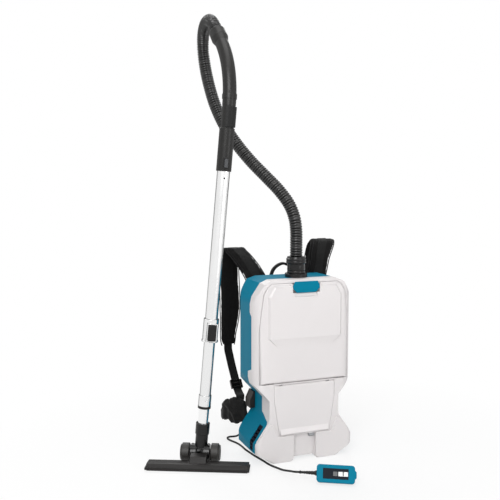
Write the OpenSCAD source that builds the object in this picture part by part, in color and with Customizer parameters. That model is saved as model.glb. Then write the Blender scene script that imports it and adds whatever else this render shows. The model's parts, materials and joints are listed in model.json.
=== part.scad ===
// Backpack vacuum cleaner: housing on its feet, harness, remote control on its
// lead, hose, telescopic wand and floor nozzle.
// Millimetres. +Z up, the front of the housing faces -Y, the wearer's back is
// towards +Y. The origin lies on the floor under the middle of the housing.

/* [Housing] */
// Width of the housing over its sides and feet
body_w = 290; // [280:2:306]
// Depth of the moulded housing, without the raised panel of the bag door
body_d = 139; // [137:1:146]
// Height of the housing
body_h = 496; // [484:2:514]
// Width of the waist between the bag chamber and the feet
waist_w = 206; // [200:2:214]
// Wall of the moulded shells
wall = 2.8; // [2.2:0.2:3.4]
// Radius of the upright edges of the bag chamber
edge_r = 34; // [28:1:38]
// Radius of the upright edges of the feet
foot_r = 16; // [10:1:20]
// Height of the upright side of a foot
foot_h = 57; // [50:1:62]
// Height of the top of the feet, where the waist starts
ankle_z = 114; // [110:1:118]
// Height of the bottom of the bag chamber
chamber_z = 216; // [212:1:222]
// Height where the top corners start
shoulder_z = 432; // [424:2:440]

/* [Doors] */
// Inset of the bag door from the top of the housing
door_inset = 9; // [8:0.5:11]
// Inset of the bag door from the sides of the housing
door_side_inset = 15; // [13:1:17]
// Gap round each door
door_gap = 0.8; // [0.6:0.1:1]
// How far the upper panel of the bag door stands proud
panel_rise = 7; // [5:0.5:9]
// Width of the latch of the bag door
latch_w = 78; // [70:2:84]
// Height of the latch of the bag door
latch_h = 30; // [26:1:32]
// Width of the battery door at its top
battery_door_w = 178; // [172:2:184]
// Diameter of the hinge pins
pin_d = 4; // [3:0.5:5]

/* [Inside] */
// Diameter of the motor casing
motor_d = 70; // [66:1:72]
// Diameter of the fan
fan_d = 60; // [54:1:61]
// Diameter of the motor shaft
shaft_d = 6; // [5:0.5:8]
// Width of one battery pack
battery_w = 68; // [64:1:70]
// Depth of one battery pack
battery_d = 44; // [42:1:45]
// Height of one battery pack
battery_h = 98; // [90:1:100]
// Thickness of the filter cassette
filter_h = 24; // [18:1:28]

/* [Hose and inlet] */
// Outer diameter of the hose
hose_d = 35; // [32:1:36]
// Bore of the inlet, the cuffs and the handle
air_bore = 27; // [24:1:28]
// Outer diameter of the inlet socket
inlet_d = 62; // [60:1:66]

/* [Wand] */
// Outer diameter of the upper tube
outer_tube_d = 34; // [33:0.5:36]
// Outer diameter of the lower tube
inner_tube_d = 30; // [28:0.5:30.5]
// Wall of both tubes
tube_wall = 1; // [0.8:0.1:1.2]
// Visible length of the lower tube between its flared end and the sleeve
inner_tube_out = 147; // [144:1:162]
// Length of the lower tube
inner_tube_len = 500; // [470:10:520]
// Length of the upper tube
outer_tube_len = 488; // [480:2:500]
// Lean of the wand from the vertical, in degrees
wand_tilt = 4.9; // [4:0.1:6]
// Bend of the handle from the wand to the hose, in degrees
handle_bend = 45; // [44:0.5:46]

/* [Nozzle] */
// Length of the nozzle
nozzle_w = 276; // [262:2:284]
// Depth of the nozzle
nozzle_d = 46; // [42:1:50]
// Height of the nozzle base
nozzle_h = 17; // [15:1:19]
// Diameter of the nozzle wheels
wheel_d = 50; // [46:1:52]

/* [Harness] */
// Width of the shoulder pads
strap_w = 66; // [56:2:68]
// Thickness of the shoulder pads
strap_t = 13; // [10:1:15]
// Width of the waist belt wings
belt_w = 96; // [84:2:104]
// Thickness of the waist belt wings
belt_t = 15; // [11:1:17]
// Thickness of the back pad
pad_t = 20; // [16:1:24]

/* [Remote control] */
// Length of the remote control
remote_len = 96; // [88:1:104]
// Height of the remote control as it stands on its edge
remote_h = 44; // [40:1:50]
// Thickness of the remote control
remote_t = 18; // [16:1:24]
// Diameter of the lead to the remote control
lead_d = 5.5; // [4.5:0.5:6]

/* [Hidden] */
$fn = 64;
eps = 0.01;
running_gap = 0.06;
soft_gap = 0.3;

// Housing levels and planes
half_w = body_w / 2;
half_waist = waist_w / 2;
front_y = -66;
back_y = front_y + body_d;
// Depth that the motor and the fan gain or lose with the depth of the housing
depth_spare = body_d - 139;
motor_out_d = motor_d + depth_spare;
fan_out_d = fan_d + depth_spare;
top_cut = 12;
arch_w = 58;
arch_h = 9;
arch_back_y = -10;
recess_w = 66;
recess_t = 8;
foot_chamfer_w = 52;
foot_chamfer_h = 32;
ankle_step = 11;
waist_top_z = chamber_z - 44;
belly_z = chamber_z + 16;
foot_front_y = front_y - 5;

// The seam between the white front shell and the rear housing, by height
seam_top_y = -26;
seam_mid_y = -38;
seam_low_y = -12;
seam_foot_y = -62;
seam_middle_y = -52;
seam_middle_w = 94;
step_low_z = chamber_z + 36;
step_high_z = shoulder_z - 28;
seam_ramp = 10;

// Screws from the back into the bosses of the front shell, as [x, seam plane, z]
screw_d = 4;
screw_head_d = 8;
screw_head_h = 3;
screw_seat = 14;
screw_grip = 10;
boss_d = 11;
screw_places = [[half_w - 17, seam_low_y, chamber_z + 24], [half_w - 24, seam_top_y, shoulder_z + 4],
                [half_w - 24, seam_middle_y, foot_chamfer_h + 8]];

// Exhaust grilles in the sides of the feet
grille_y = -50;
grille_l = 25;
grille_z = foot_chamfer_h + 3;
grille_top_z = ankle_z - 14;
grille_inset = 1.2;

// Doors and their hinges
door_back_y = front_y + 22;
door_bottom_z = chamber_z + 2;
panel_low_z = 316;
panel_half = half_w - edge_r - 3;
gasket_t = 1.4;
seat_y = door_back_y + gasket_t + soft_gap;
seat_t = 4;
seat_w = 14;
seat_step = 2;
pin_r = pin_d / 2;
hinge_boss_d = pin_d + 4;
hinge_in = wall + hinge_boss_d / 2 + 0.5;
hinge_drop = hinge_in + 0.2;
hinge_cut = 4.5;
hinge_x = 95;
hinge_y = front_y + hinge_in;
hinge_z = door_bottom_z + hinge_drop;
lug_w = 10;
knuckle_w = 6;
knuckle_x = lug_w / 2 + 0.5 + knuckle_w / 2;
pin_len = 2 * knuckle_x + knuckle_w;
battery_top_z = chamber_z - 2;
battery_low_z = 76;
battery_hinge_x = 70;
battery_hinge_z = battery_top_z - hinge_drop;
battery_taper = 15;
battery_edge_t = 14;
lip_t = 5;

// Latch of the bag door and catch of the battery door
latch_z = body_h - 34;
latch_pocket = 14;
latch_pin_y = front_y + 1;
latch_pin_z = latch_z + latch_h - 13;
latch_proud = 1.5;
spring_w = 18;
catch_x = 22;
catch_w = 16;
catch_h = 9;
catch_travel = 3;
catch_z = battery_low_z - 4 - catch_h;

// Inlet
inlet_y = -5;
inlet_flange_h = 10;
inlet_top_z = body_h + inlet_flange_h;
port_d = inlet_d - 8;
port_low_z = body_h - 32;
spigot_d = 46;
spigot_low_z = body_h - 12;
duct_d = air_bore + 12;
cuff_d = 50;
hose_low_z = inlet_top_z + 46;
collar_w = 100;
collar_d = 56;
collar_t = 4;
collar_z = port_low_z - 16.8;
duct_low_z = collar_z + 0.8;

// Bag chamber
floor_z = chamber_z + 4;
filter_z = floor_z + wall + soft_gap;
filter_w = 196;
filter_d = 88;
filter_y = 8;
bag_w = 190;
bag_d = 84;
bag_y = 5;
bag_low_z = filter_z + filter_h + 8;
bag_h = collar_z - bag_low_z - 15;

// Batteries, bulkhead and control board
battery_gap = 8;
battery_y = front_y + 13;
battery_z = 84;
bulkhead_y = battery_y + battery_d + 2;
button_w = 22;
button_h = 12;
button_t = 5;
button_proud = 2;
button_travel = 2;
button_at = battery_h - 34;
board_w = 90;
board_h = 60;
board_z = 30;

// Motor, upright behind the bulkhead
motor_y = (bulkhead_y + back_y) / 2;
motor_wall = 2.4;
motor_len = 84;
mount_t = 6;
motor_low_z = floor_z - mount_t - motor_len;
spider_z = motor_low_z + 58;
ledge_d = motor_out_d - 22;
stator_low = motor_low_z + 20;
stator_len = 28;
core_d = 24;
bearing_d = 19;
bearing_t = 6;
eye_d = 34;

// Wand frame: the origin is the axle of the nozzle, +Z runs up the tube
axle = [-269, 22, wheel_d / 2];
wand_turn = -21;
handle_turn = 30;
button_turn = -76;
grip_turn = -15;
nozzle_turn = -25;
neck_d = 38;
neck_top = 83;
pipe_low = 52;
pipe_top = 124;
seal_t = 7;
flare_top = 160;
flare_d = inner_tube_d + 4;
pipe_d = inner_tube_d - 2 * tube_wall - 0.1;
inner_low = pipe_top + seal_t;
sleeve_low = flare_top + inner_tube_out;
sleeve_d = outer_tube_d + 7;
sleeve_len = 62;
outer_low = sleeve_low + 14;
outer_top = outer_low + outer_tube_len;
socket_overlap = 48;
socket_low = outer_top - socket_overlap;
socket_d = outer_tube_d + 6;
socket_len = 112;
lock_hole_d = 5;
tube_button_w = 22;
tube_button_h = 44;
tube_button_at = sleeve_low + 5 + tube_button_h / 2;

// Handle and the buttons on the wand
handle_d = 35;
bend_start = socket_low + 171;
bend_r = 235;
handle_flare_len = 20;
handle_flare_d = 46;
handle_spigot_d = 31;
handle_end_len = 14;
handle_cuff_len = 26;
handle_cuff_d = hose_d + 10;
grip_t = 3.5;
lock_button_at = socket_low + 21;
lock_w = 9;
lock_len = 23;
slide_travel = 3;
slide_gap = 0.2;
button_floor = outer_tube_d / 2 + 0.6;

// Nozzle
barrel_d = 46;
barrel_w = 52;
nozzle_front = 80;
sole_z = 3;
wheel_w = 24;
ear_t = 3;
stub_d = 12;
skirt_w = 3;
skirt_h = 6;
mouth_w = 34;

// Harness
plate_t = 6;
plate_w = 214;
plate_h = 360;
plate_z = 96;
plate_back_y = back_y + plate_t;
pad_back_y = plate_back_y + pad_t;
pad_top_z = plate_z + plate_h - 16;
webbing_w = 25;
webbing_t = 2;
bracket_w = 16;
bracket_d = 36;
bracket_y = 40;
bracket_z = ankle_z + ankle_step + 0.2;
bracket_h = waist_top_z - bracket_z;
loop_w = 16;
loop_t = 8;

// Remote control frame: it leans back on the clip and its lower back edge
remote_lean = 27;
remote_turn = -29.6;
remote_at = [0, -250, remote_t / 2 * sin(remote_lean)];
panel_len = 64;
panel_h = 26;
panel_t = 1.5;
key_places = [12, 25];
key_w = 11;
key_t = 3.5;
key_proud = 1;
key_travel = 1;
clip_w = 20;
clip_t = 2.4;
clip_pin_r = 1.5;
clip_foot = 12;
foot_rise = clip_foot * tan(remote_lean) + 0.1;
lead_x = -92;
lead_z = 52;
gland_d = 10;
gland_len = 44;
housing_gland_len = 22.6;

// A point of the wand's frame and a point s beyond the handle's bend
function from_wand(p) =
  let (x = p[0] * cos(wand_tilt) + p[2] * sin(wand_tilt), z = p[2] * cos(wand_tilt) - p[0] * sin(wand_tilt))
  axle + [x * cos(wand_turn) - p[1] * sin(wand_turn), x * sin(wand_turn) + p[1] * cos(wand_turn), z];
function past_handle(s) =
  let (y = bend_r * (1 - cos(handle_bend)) + s * sin(handle_bend),
       z = bend_r * sin(handle_bend) + s * cos(handle_bend))
  from_wand([-y * sin(handle_turn), y * cos(handle_turn), bend_start + z]);

// A point of the remote control's frame
function from_remote(p) =
  let (y = p[1] * cos(remote_lean) + p[2] * sin(remote_lean), z = p[2] * cos(remote_lean) - p[1] * sin(remote_lean))
  remote_at + [p[0] * cos(remote_turn) - y * sin(remote_turn), p[0] * sin(remote_turn) + y * cos(remote_turn), z];

// Centre line of the hose, from the inlet cuff to the handle
HOSE = [[0, inlet_y, hose_low_z], [0, -5, 590], [0, -4, 622], [-3, 0, 655], [-12, 12, 690], [-31, 35, 728],
        [-58, 69, 768], [-89, 107, 812], [-118, 142, 860], [-144, 175, 914], [-162, 204, 972],
        [-174, 226, 1034], [-181, 240, 1088], [-187, 240, 1136], [-193, 217, 1174], [-197, 180, 1196],
        [-199, 139, 1197], [-199, 108, 1182], past_handle(handle_flare_len + 38),
        past_handle(handle_flare_len + handle_end_len + soft_gap)];

// Centre line of the remote control's lead, from the housing to the remote control
housing_tip = [lead_x, back_y + soft_gap + housing_gland_len, lead_z];
remote_tip_x = -remote_len / 2 - 0.1 - gland_len;
LEAD = [housing_tip, [-92, 108, 50], [-94, 120, 43], [-98, 131, 33], [-103, 141, 22], [-109, 150, 13],
        [-116, 158, 6], [-124, 164, 3.5], [-133, 167, 3], [-141, 164, 3], [-145, 155, 3], [-144, 143, 3],
        [-140, 130, 3], [-135, 117, 3], [-131, 103, 3], [-129, 89, 3], [-128, 74, 3], [-128, 60, 3],
        [-127, 45, 3], [-125, 30, 3], [-123, 15, 3], [-121, 0, 3], [-118, -15, 3], [-115, -30, 3],
        [-112, -45, 3], [-110, -60, 3], [-107, -75, 3], [-103, -90, 3.5], [-100, -104, 5], [-98, -118, 7],
        [-97, -132, 9.5], [-95, -146, 12.5], [-92, -160, 16], [-88, -174, 19.5],
        from_remote([remote_tip_x - 12, 0, remote_h / 2]), from_remote([remote_tip_x, 0, remote_h / 2])];

// ---- Helpers ----

// A ring with its axis on Z
module ring(outer, inner, h) {
  difference() {
    cylinder(d = outer, h = h);
    translate([0, 0, -1]) cylinder(d = inner, h = h + 2);
  }
}

// Copies on the left and on the right
module both_sides() {
  children();
  mirror([1, 0, 0]) children();
}

// A half outline, given on +X from the bottom up, closed by its mirror image
function mirrored(half) = concat(half, [for (i = [len(half) - 1:-1:0]) [-half[i][0], half[i][1]]]);

// Extrudes an XZ outline along Y between two planes
module front_slab(y0, y1) {
  translate([0, y1, 0]) rotate([90, 0, 0]) linear_extrude(y1 - y0) children();
}

// Extrudes a YZ outline along X, centred
module side_slab(width) {
  rotate([90, 0, 90]) linear_extrude(width, center = true) children();
}

function unit(v) = v / norm(v);
function tangent(route, i) =
  unit(route[min(i + 1, len(route) - 1)] - route[max(i - 1, 0)]);

// Sweeps a closed section along a route. Each section point is [along the width, along
// the thickness], and the width stays as near the given direction as the route allows.
// The list of widths scales the width at each point of the route.
module sweep(route, section, width_dir, widths = []) {
  n = len(section);
  m = len(route);
  points = [for (i = [0:m - 1])
    let (t = tangent(route, i), b = unit(cross(t, width_dir)), a = cross(b, t), k = len(widths) > 0 ? widths[i] : 1)
    for (p = section) route[i] + k * p[0] * a + p[1] * b];
  sides = [for (i = [0:m - 2]) for (j = [0:n - 1])
    let (k = (j + 1) % n, a = i * n, b = (i + 1) * n)
    each [[a + j, b + j, b + k], [a + j, b + k, a + k]]];
  caps = [[for (j = [0:n - 1]) j], [for (j = [n - 1:-1:0]) (m - 1) * n + j]];
  polyhedron(points, concat(sides, caps));
}

// ---- Housing ----

// Half outline of the housing from the floor up, shrunk by g
function housing_outline(g) = mirrored([
  [half_w - foot_chamfer_w, g],
  [half_w - g, foot_chamfer_h],
  [half_w - g, foot_h],
  [half_waist - g + 2, ankle_z],
  [half_waist - g, ankle_z + ankle_step],
  [half_waist - g, waist_top_z],
  [half_waist - g + 16, waist_top_z + 18],
  [half_w - g - 4, chamber_z - 2],
  [half_w - g, belly_z],
  [half_w - g, shoulder_z],
  [half_w - g - 5, shoulder_z + 20],
  [half_w - g - 29, body_h - 9],
  [half_w - g - 50, body_h - g]]);

// Outline of the bag door, shrunk by g, inset from the sides and the top of the housing
function door_outline(g) = mirrored([
  [half_w - door_side_inset - g, door_bottom_z + g],
  [half_w - door_side_inset - g, shoulder_z - 70],
  [half_w - door_side_inset - g - 4, shoulder_z - 28],
  [half_w - door_side_inset - g - 11, body_h - door_inset - 27],
  [half_w - door_side_inset - g - 22, body_h - door_inset - 8],
  [half_w - door_side_inset - g - 34, body_h - door_inset - g]]);

// Outline of the battery door, which narrows downwards
function battery_outline(g) = mirrored([
  [battery_door_w / 2 - battery_taper - g, battery_low_z + g],
  [battery_door_w / 2 - g, battery_low_z + 96],
  [battery_door_w / 2 - g, battery_top_z - g]]);

// Side profile of the housing, with the front and back top edges taken off
module side_profile(g) {
  side_slab(body_w + 2)
    polygon([[front_y + g, -1], [front_y + g, body_h - top_cut], [front_y + top_cut, body_h - g],
             [back_y - top_cut, body_h - g], [back_y - g, body_h - top_cut], [back_y - g, -1]]);
}

// Plan of the housing, with upright edges of radius r
module plan(g, r) {
  w = body_w - 2 * g;
  d = body_d - 2 * g;
  rr = r - g;
  translate([0, (front_y + back_y) / 2]) {
    square([w - 2 * rr, d], center = true);
    square([w, d - 2 * rr], center = true);
    for (x = [-1, 1], y = [-1, 1])
      translate([x * (w / 2 - rr), y * (d / 2 - rr)]) circle(rr);
  }
}

// The arch under the front and the recess between the feet, grown by g
module foot_recess(g) {
  front_slab(front_y - 20, arch_back_y + g)
    polygon(mirrored([[arch_w / 2 + arch_h + 1 + g, -1], [arch_w / 2 + g, arch_h + g]]));
  translate([-recess_w / 2 - g, front_y - 20, -1])
    cube([recess_w + 2 * g, 20 + recess_t + g, battery_low_z - 3 + g]);
}

// Everything inside the outer surface of the housing, shrunk by g
module mass(g) {
  difference() {
    intersection() {
      front_slab(front_y + g, back_y - g) polygon(housing_outline(g));
      side_profile(g);
      union() {
        translate([0, 0, ankle_z]) linear_extrude(body_h) plan(g, edge_r);
        linear_extrude(ankle_z) plan(g, foot_r);
      }
    }
    foot_recess(g);
  }
}

// The part of space in front of the seam between the two shells, which lies further
// back between the feet
module front_zone() {
  translate([-seam_middle_w / 2, front_y - 30, -5])
    cube([seam_middle_w, seam_middle_y - front_y + 30, ankle_z - 1]);
  side_slab(body_w + 20)
    polygon([[front_y - 30, -5], [seam_foot_y, -5], [seam_foot_y, ankle_z - 6],
             [seam_low_y, ankle_z + 16], [seam_low_y, step_low_z - seam_ramp / 2],
             [seam_mid_y, step_low_z + seam_ramp / 2], [seam_mid_y, step_high_z - seam_ramp / 2],
             [seam_top_y, step_high_z + seam_ramp / 2], [seam_top_y, body_h + 5],
             [front_y - 30, body_h + 5]]);
}

// Places its children at the screws, on the seam, with +Z to the rear
module at_screws() {
  both_sides() for (p = screw_places) translate(p) rotate([-90, 0, 0]) children();
}

// A hinge boss with its axis on X
module hinge_boss(width) {
  rotate([0, 90, 0]) cylinder(d = hinge_boss_d, h = width, center = true);
}

// The two lugs of the bag door's hinge
module bag_door_lugs() {
  both_sides() translate([hinge_x, hinge_y, hinge_z]) {
    hinge_boss(lug_w);
    translate([-lug_w / 2, 0, -hinge_boss_d / 2])
      cube([lug_w, seat_y + seat_step - hinge_y + 1, hinge_boss_d]);
  }
}

// The two lugs of the battery door's hinge, which hang from the shelf above it
module battery_door_lugs() {
  riser = hinge_drop + 1.2;
  both_sides() translate([battery_hinge_x, hinge_y, battery_hinge_z]) {
    hinge_boss(lug_w);
    translate([-lug_w / 2, 0, -hinge_boss_d / 2]) cube([lug_w, riser + 4, hinge_boss_d]);
    translate([-lug_w / 2, riser, -hinge_boss_d / 2])
      cube([lug_w, 4, hinge_boss_d / 2 + hinge_drop + door_gap + 1]);
  }
}

module front_housing() {
  color("whitesmoke") difference() {
    union() {
      difference() {
        union() {
          intersection() {
            difference() {
              mass(0);
              mass(wall);
            }
            front_zone();
          }
          foot_fronts();
        }
        front_slab(front_y - 1, seat_y - 1) polygon(door_outline(-door_gap));
        front_slab(front_y - 10, front_y + wall + 1) polygon(battery_outline(-door_gap));
      }
      door_seat();
      // Frame round the battery bay
      front_slab(front_y, front_y + battery_edge_t) difference() {
        polygon(battery_outline(-door_gap - 2));
        polygon(battery_outline(-door_gap));
      }
      // Bar between the doors and the shelf behind it
      translate([-half_waist + wall, front_y, battery_top_z + door_gap]) {
        cube([waist_w - 2 * wall, seat_y + seat_t - front_y, door_bottom_z - battery_top_z - 2 * door_gap]);
      }
      bag_door_lugs();
      battery_door_lugs();
      intersection() {
        at_screws() translate([0, 0, -body_d]) cylinder(d = boss_d, h = body_d);
        mass(wall / 2);
        union() {
          translate([-half_w, seat_y, ankle_z]) cube([body_w, body_d, body_h]);
          translate([-half_w, front_y, 0]) cube([body_w, body_d, ankle_z]);
        }
      }
    }
    hinge_pin_bores(0.02);
    at_screws() translate([0, 0, -screw_grip - 1]) cylinder(d = screw_d, h = screw_grip + 2);
    translate([0, inlet_y, body_h - 30]) cylinder(d = port_d + 2 * soft_gap, h = 60);
    // Slot that guides the battery catch
    translate([catch_x - catch_w / 4 - slide_gap, front_y, catch_z + catch_h / 4 - catch_travel - slide_gap])
      cube([catch_w / 2 + 2 * slide_gap, 20, catch_h / 2 + catch_travel + 2 * slide_gap]);
  }
}

// Seat of the bag door's gasket, stepped back at the hinge where the door turns
module door_seat() {
  difference() {
    intersection() {
      mass(wall);
      front_slab(seat_y, seat_y + seat_t) difference() {
        polygon(housing_outline(0));
        polygon(door_outline(seat_w));
      }
      translate([-half_w, front_y, door_bottom_z - 6]) cube([body_w, body_d, body_h]);
    }
    translate([-half_w, seat_y - 1, door_bottom_z - 8]) cube([body_w, 1 + seat_step, 24]);
  }
}

// The proud fronts of the two feet
module foot_fronts() {
  difference() {
    intersection() {
      both_sides() front_slab(foot_front_y, seam_foot_y)
        polygon([[recess_w / 2, arch_h], [recess_w / 2 + 8, 1], [half_w - foot_chamfer_w - 1, 1],
                 [half_w - 1, foot_chamfer_h], [half_w - 1, foot_h], [half_waist, ankle_z - 6],
                 [half_waist - 8, ankle_z - 6], [battery_door_w / 2 - battery_taper + 4, battery_low_z - 3],
                 [recess_w / 2, battery_low_z - 3]]);
      translate([0, foot_front_y - front_y, 0]) linear_extrude(ankle_z) plan(0, foot_r);
    }
    mass(wall);
    front_slab(front_y - 20, front_y + wall + 1) polygon(battery_outline(-door_gap));
  }
}

// Bores for the hinge pins of both doors, with that gap round the pin
module hinge_pin_bores(gap) {
  both_sides() {
    translate([hinge_x, hinge_y, hinge_z]) rotate([0, 90, 0])
      cylinder(r = pin_r + gap, h = pin_len + 2, center = true);
    translate([battery_hinge_x, hinge_y, battery_hinge_z]) rotate([0, 90, 0])
      cylinder(r = pin_r + gap, h = pin_len + 2, center = true);
  }
}

// Half width of the housing at a height of the feet
function foot_side_x(z) = half_w - max(0, z - foot_h) * (half_w - half_waist - 2) / (ankle_z - foot_h);

// Window of the exhaust grille in the side of a foot, shrunk by g
module grille_window(g) {
  front_slab(grille_y + g, grille_y + grille_l - g) polygon([
    [half_w - 6, grille_z + g], [half_w - 6, foot_h], [foot_side_x(grille_top_z) - 6, grille_top_z - g],
    [half_w + 1, grille_top_z - g], [half_w + 1, grille_z + g]]);
}

module rear_housing() {
  color("darkcyan") difference() {
    union() {
      difference() {
        mass(0);
        mass(wall);
        front_zone();
      }
      intersection() {
        at_screws() cylinder(d = boss_d, h = body_d);
        mass(wall / 2);
      }
    }
    at_screws() {
      translate([0, 0, -1]) cylinder(d = screw_d + 0.6, h = body_d);
      translate([0, 0, screw_seat]) cylinder(d = screw_head_d + 0.8, h = body_d);
    }
    translate([0, inlet_y, body_h - 30]) cylinder(d = port_d + 2 * soft_gap, h = 60);
    both_sides() grille_window(0);
    translate([lead_x, back_y - wall - 1, lead_z]) rotate([-90, 0, 0])
      cylinder(d = gland_d + 2 * running_gap, h = wall + 2);
  }
}

module housing_screws() {
  color("dimgray") at_screws() {
    translate([0, 0, screw_seat + 0.05]) cylinder(d = screw_head_d, h = screw_head_h);
    translate([0, 0, -screw_grip]) cylinder(d = screw_d - 0.1, h = screw_grip + screw_seat + 1);
  }
}

// The slotted grilles follow the sides of the feet behind their windows
module exhaust_grilles() {
  pitch = 9;
  color("midnightblue") both_sides() difference() {
    intersection() {
      mass(grille_inset);
      grille_window(soft_gap);
    }
    mass(grille_inset + wall);
    for (z = [grille_z + 5:pitch:grille_top_z - 8])
      translate([half_waist - 10, grille_y + 5, z]) cube([half_w, grille_l - 10, 4]);
  }
}

// ---- Doors ----

// The body of the raised panel, shrunk by g
module raised_panel(g) {
  rise_y = front_y - panel_rise + g;
  hull() {
    front_slab(rise_y, rise_y + eps) polygon(mirrored([
      [panel_half - 5 - g, panel_low_z + 24 + g], [panel_half - 5 - g, shoulder_z + 18],
      [panel_half - 20 - g, body_h - 18 - g]]));
    front_slab(front_y + g, front_y + g + eps) polygon(mirrored([
      [panel_half - 30 - g, panel_low_z + g], [panel_half - g, panel_low_z + 26],
      [panel_half - g, shoulder_z + 22], [panel_half - 16 - g, body_h - 13 - g]]));
  }
}

module bag_door() {
  color("white") difference() {
    union() {
      difference() {
        intersection() {
          union() {
            mass(0);
            raised_panel(0);
          }
          front_slab(front_y - 20, door_back_y) polygon(door_outline(0));
        }
        intersection() {
          mass(wall);
          front_slab(front_y, door_back_y + 1) polygon(door_outline(wall));
        }
        raised_panel(wall);
      }
      // Pocket of the latch
      intersection() {
        translate([-latch_w / 2 - 5, front_y - panel_rise + 1, latch_z - 16])
          cube([latch_w + 10, panel_rise + latch_pocket, body_h]);
        front_slab(front_y - 20, door_back_y) polygon(door_outline(0));
      }
      // Knuckles on both sides of each lug
      both_sides() for (side = [-1, 1])
        translate([hinge_x + side * knuckle_x, hinge_y, hinge_z]) {
          hinge_boss(knuckle_w);
          translate([-knuckle_w / 2, -hinge_in + 1, -hinge_boss_d / 2])
            cube([knuckle_w, hinge_in - 1, hinge_boss_d]);
        }
    }
    // The edge that turns past the housing is taken off
    translate([0, front_y, door_bottom_z]) side_slab(body_w)
      polygon([[-1, -1], [hinge_cut + 1, -1], [-1, hinge_cut + 1]]);
    both_sides() translate([hinge_x - lug_w / 2 - door_gap, hinge_y - hinge_boss_d / 2 - 0.9, door_bottom_z - 1])
      cube([lug_w + 2 * door_gap, 60, 16]);
    hinge_pin_bores(running_gap);
    // Room for the latch, open at the top, and the finger recess below it
    translate([-latch_w / 2 - door_gap, front_y - 20, latch_z - door_gap])
      cube([latch_w + 2 * door_gap, 20 + latch_pocket - wall, body_h]);
    translate([-latch_w / 2 + 6, front_y - 20, latch_z - 11]) cube([latch_w - 12, 17, 12]);
    translate([0, latch_pin_y, latch_pin_z]) rotate([0, 90, 0])
      cylinder(r = pin_r + running_gap, h = latch_w + 7, center = true);
  }
}

module door_gasket() {
  color("black") difference() {
    front_slab(door_back_y, door_back_y + gasket_t) difference() {
      polygon(door_outline(0.3));
      polygon(door_outline(wall - 0.3));
    }
    both_sides() translate([hinge_x - lug_w / 2 - door_gap, door_back_y - 1, door_bottom_z - 1])
      cube([lug_w + 2 * door_gap, 10, 16]);
  }
}

module door_latch() {
  color("darkcyan") {
    front_slab(front_y - panel_rise - latch_proud, front_y - panel_rise + 3)
      polygon(mirrored([[latch_w / 2 - 11, latch_z], [latch_w / 2, latch_z + latch_h / 2 - 3],
                        [latch_w / 2, latch_z + latch_h / 2 + 3], [latch_w / 2 - 6, latch_z + latch_h]]));
    translate([0, latch_pin_y, latch_pin_z]) rotate([0, 90, 0])
      cylinder(r = pin_r, h = latch_w + 6, center = true);
    both_sides() translate([spring_w / 2 + 3, front_y - panel_rise + 2.9, latch_pin_z - 3])
      cube([latch_w / 2 - spring_w / 2 - 8, panel_rise + latch_pin_y - front_y - 2.9, 5]);
  }
}

module latch_spring() {
  turns = 5;
  wire = 0.9;
  coil_r = pin_r + 1.6;
  steps = 8;
  coil = [for (i = [0:turns * steps])
    [spring_w * (i / (turns * steps) - 0.5), coil_r * cos(i * 360 / steps), coil_r * sin(i * 360 / steps)]];
  wire_section = [for (a = [0:60:300]) [wire / 2 * cos(a), wire / 2 * sin(a)]];
  color("silver") translate([0, latch_pin_y, latch_pin_z]) sweep(coil, wire_section, [1, 0, 0]);
}

module hinge_pins() {
  color("silver") both_sides() {
    translate([hinge_x, hinge_y, hinge_z]) rotate([0, 90, 0]) cylinder(r = pin_r, h = pin_len, center = true);
    translate([battery_hinge_x, hinge_y, battery_hinge_z]) rotate([0, 90, 0])
      cylinder(r = pin_r, h = pin_len, center = true);
  }
}

module battery_door() {
  rim = battery_edge_t - 6;
  color("white") difference() {
    union() {
      front_slab(front_y, front_y + wall) polygon(battery_outline(0));
      front_slab(front_y, front_y + rim) difference() {
        polygon(battery_outline(0));
        polygon(battery_outline(2));
      }
      // Grip lip along the lower edge
      translate([0, front_y, battery_low_z]) side_slab(battery_door_w - 2 * battery_taper - 4)
        polygon([[0, 0], [-lip_t, 1], [-lip_t, 4], [0, 16]]);
      both_sides() for (side = [-1, 1])
        translate([battery_hinge_x + side * knuckle_x, hinge_y, battery_hinge_z]) {
          hinge_boss(knuckle_w);
          translate([-knuckle_w / 2, -hinge_in + 1, -hinge_boss_d / 2])
            cube([knuckle_w, hinge_in - 1, hinge_boss_d]);
        }
    }
    translate([0, front_y, battery_top_z]) side_slab(body_w)
      polygon([[-1, 1], [hinge_cut + 1, 1], [-1, -hinge_cut - 1]]);
    both_sides()
      translate([battery_hinge_x - lug_w / 2 - door_gap, hinge_y - hinge_boss_d / 2 - 0.9, battery_top_z - 12])
        cube([lug_w + 2 * door_gap, 30, 16]);
    hinge_pin_bores(running_gap);
  }
}

// The catch below the battery door, guided by a tongue in its slot
module battery_catch() {
  face_y = front_y + recess_t - soft_gap;
  color("gainsboro") translate([catch_x, face_y, catch_z]) {
    translate([-catch_w / 2, -6, 0]) cube([catch_w, 6, catch_h]);
    translate([-catch_w / 2, -7.5, 1]) cube([catch_w, 2, 2]);
    translate([-catch_w / 4, -eps, catch_h / 4]) cube([catch_w / 2, wall + 2.6, catch_h / 2]);
    translate([-catch_w / 2 + 1, wall + 2 * soft_gap, catch_h / 4]) cube([catch_w - 2, 2, catch_h / 2]);
  }
}

// ---- Inside ----

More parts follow.
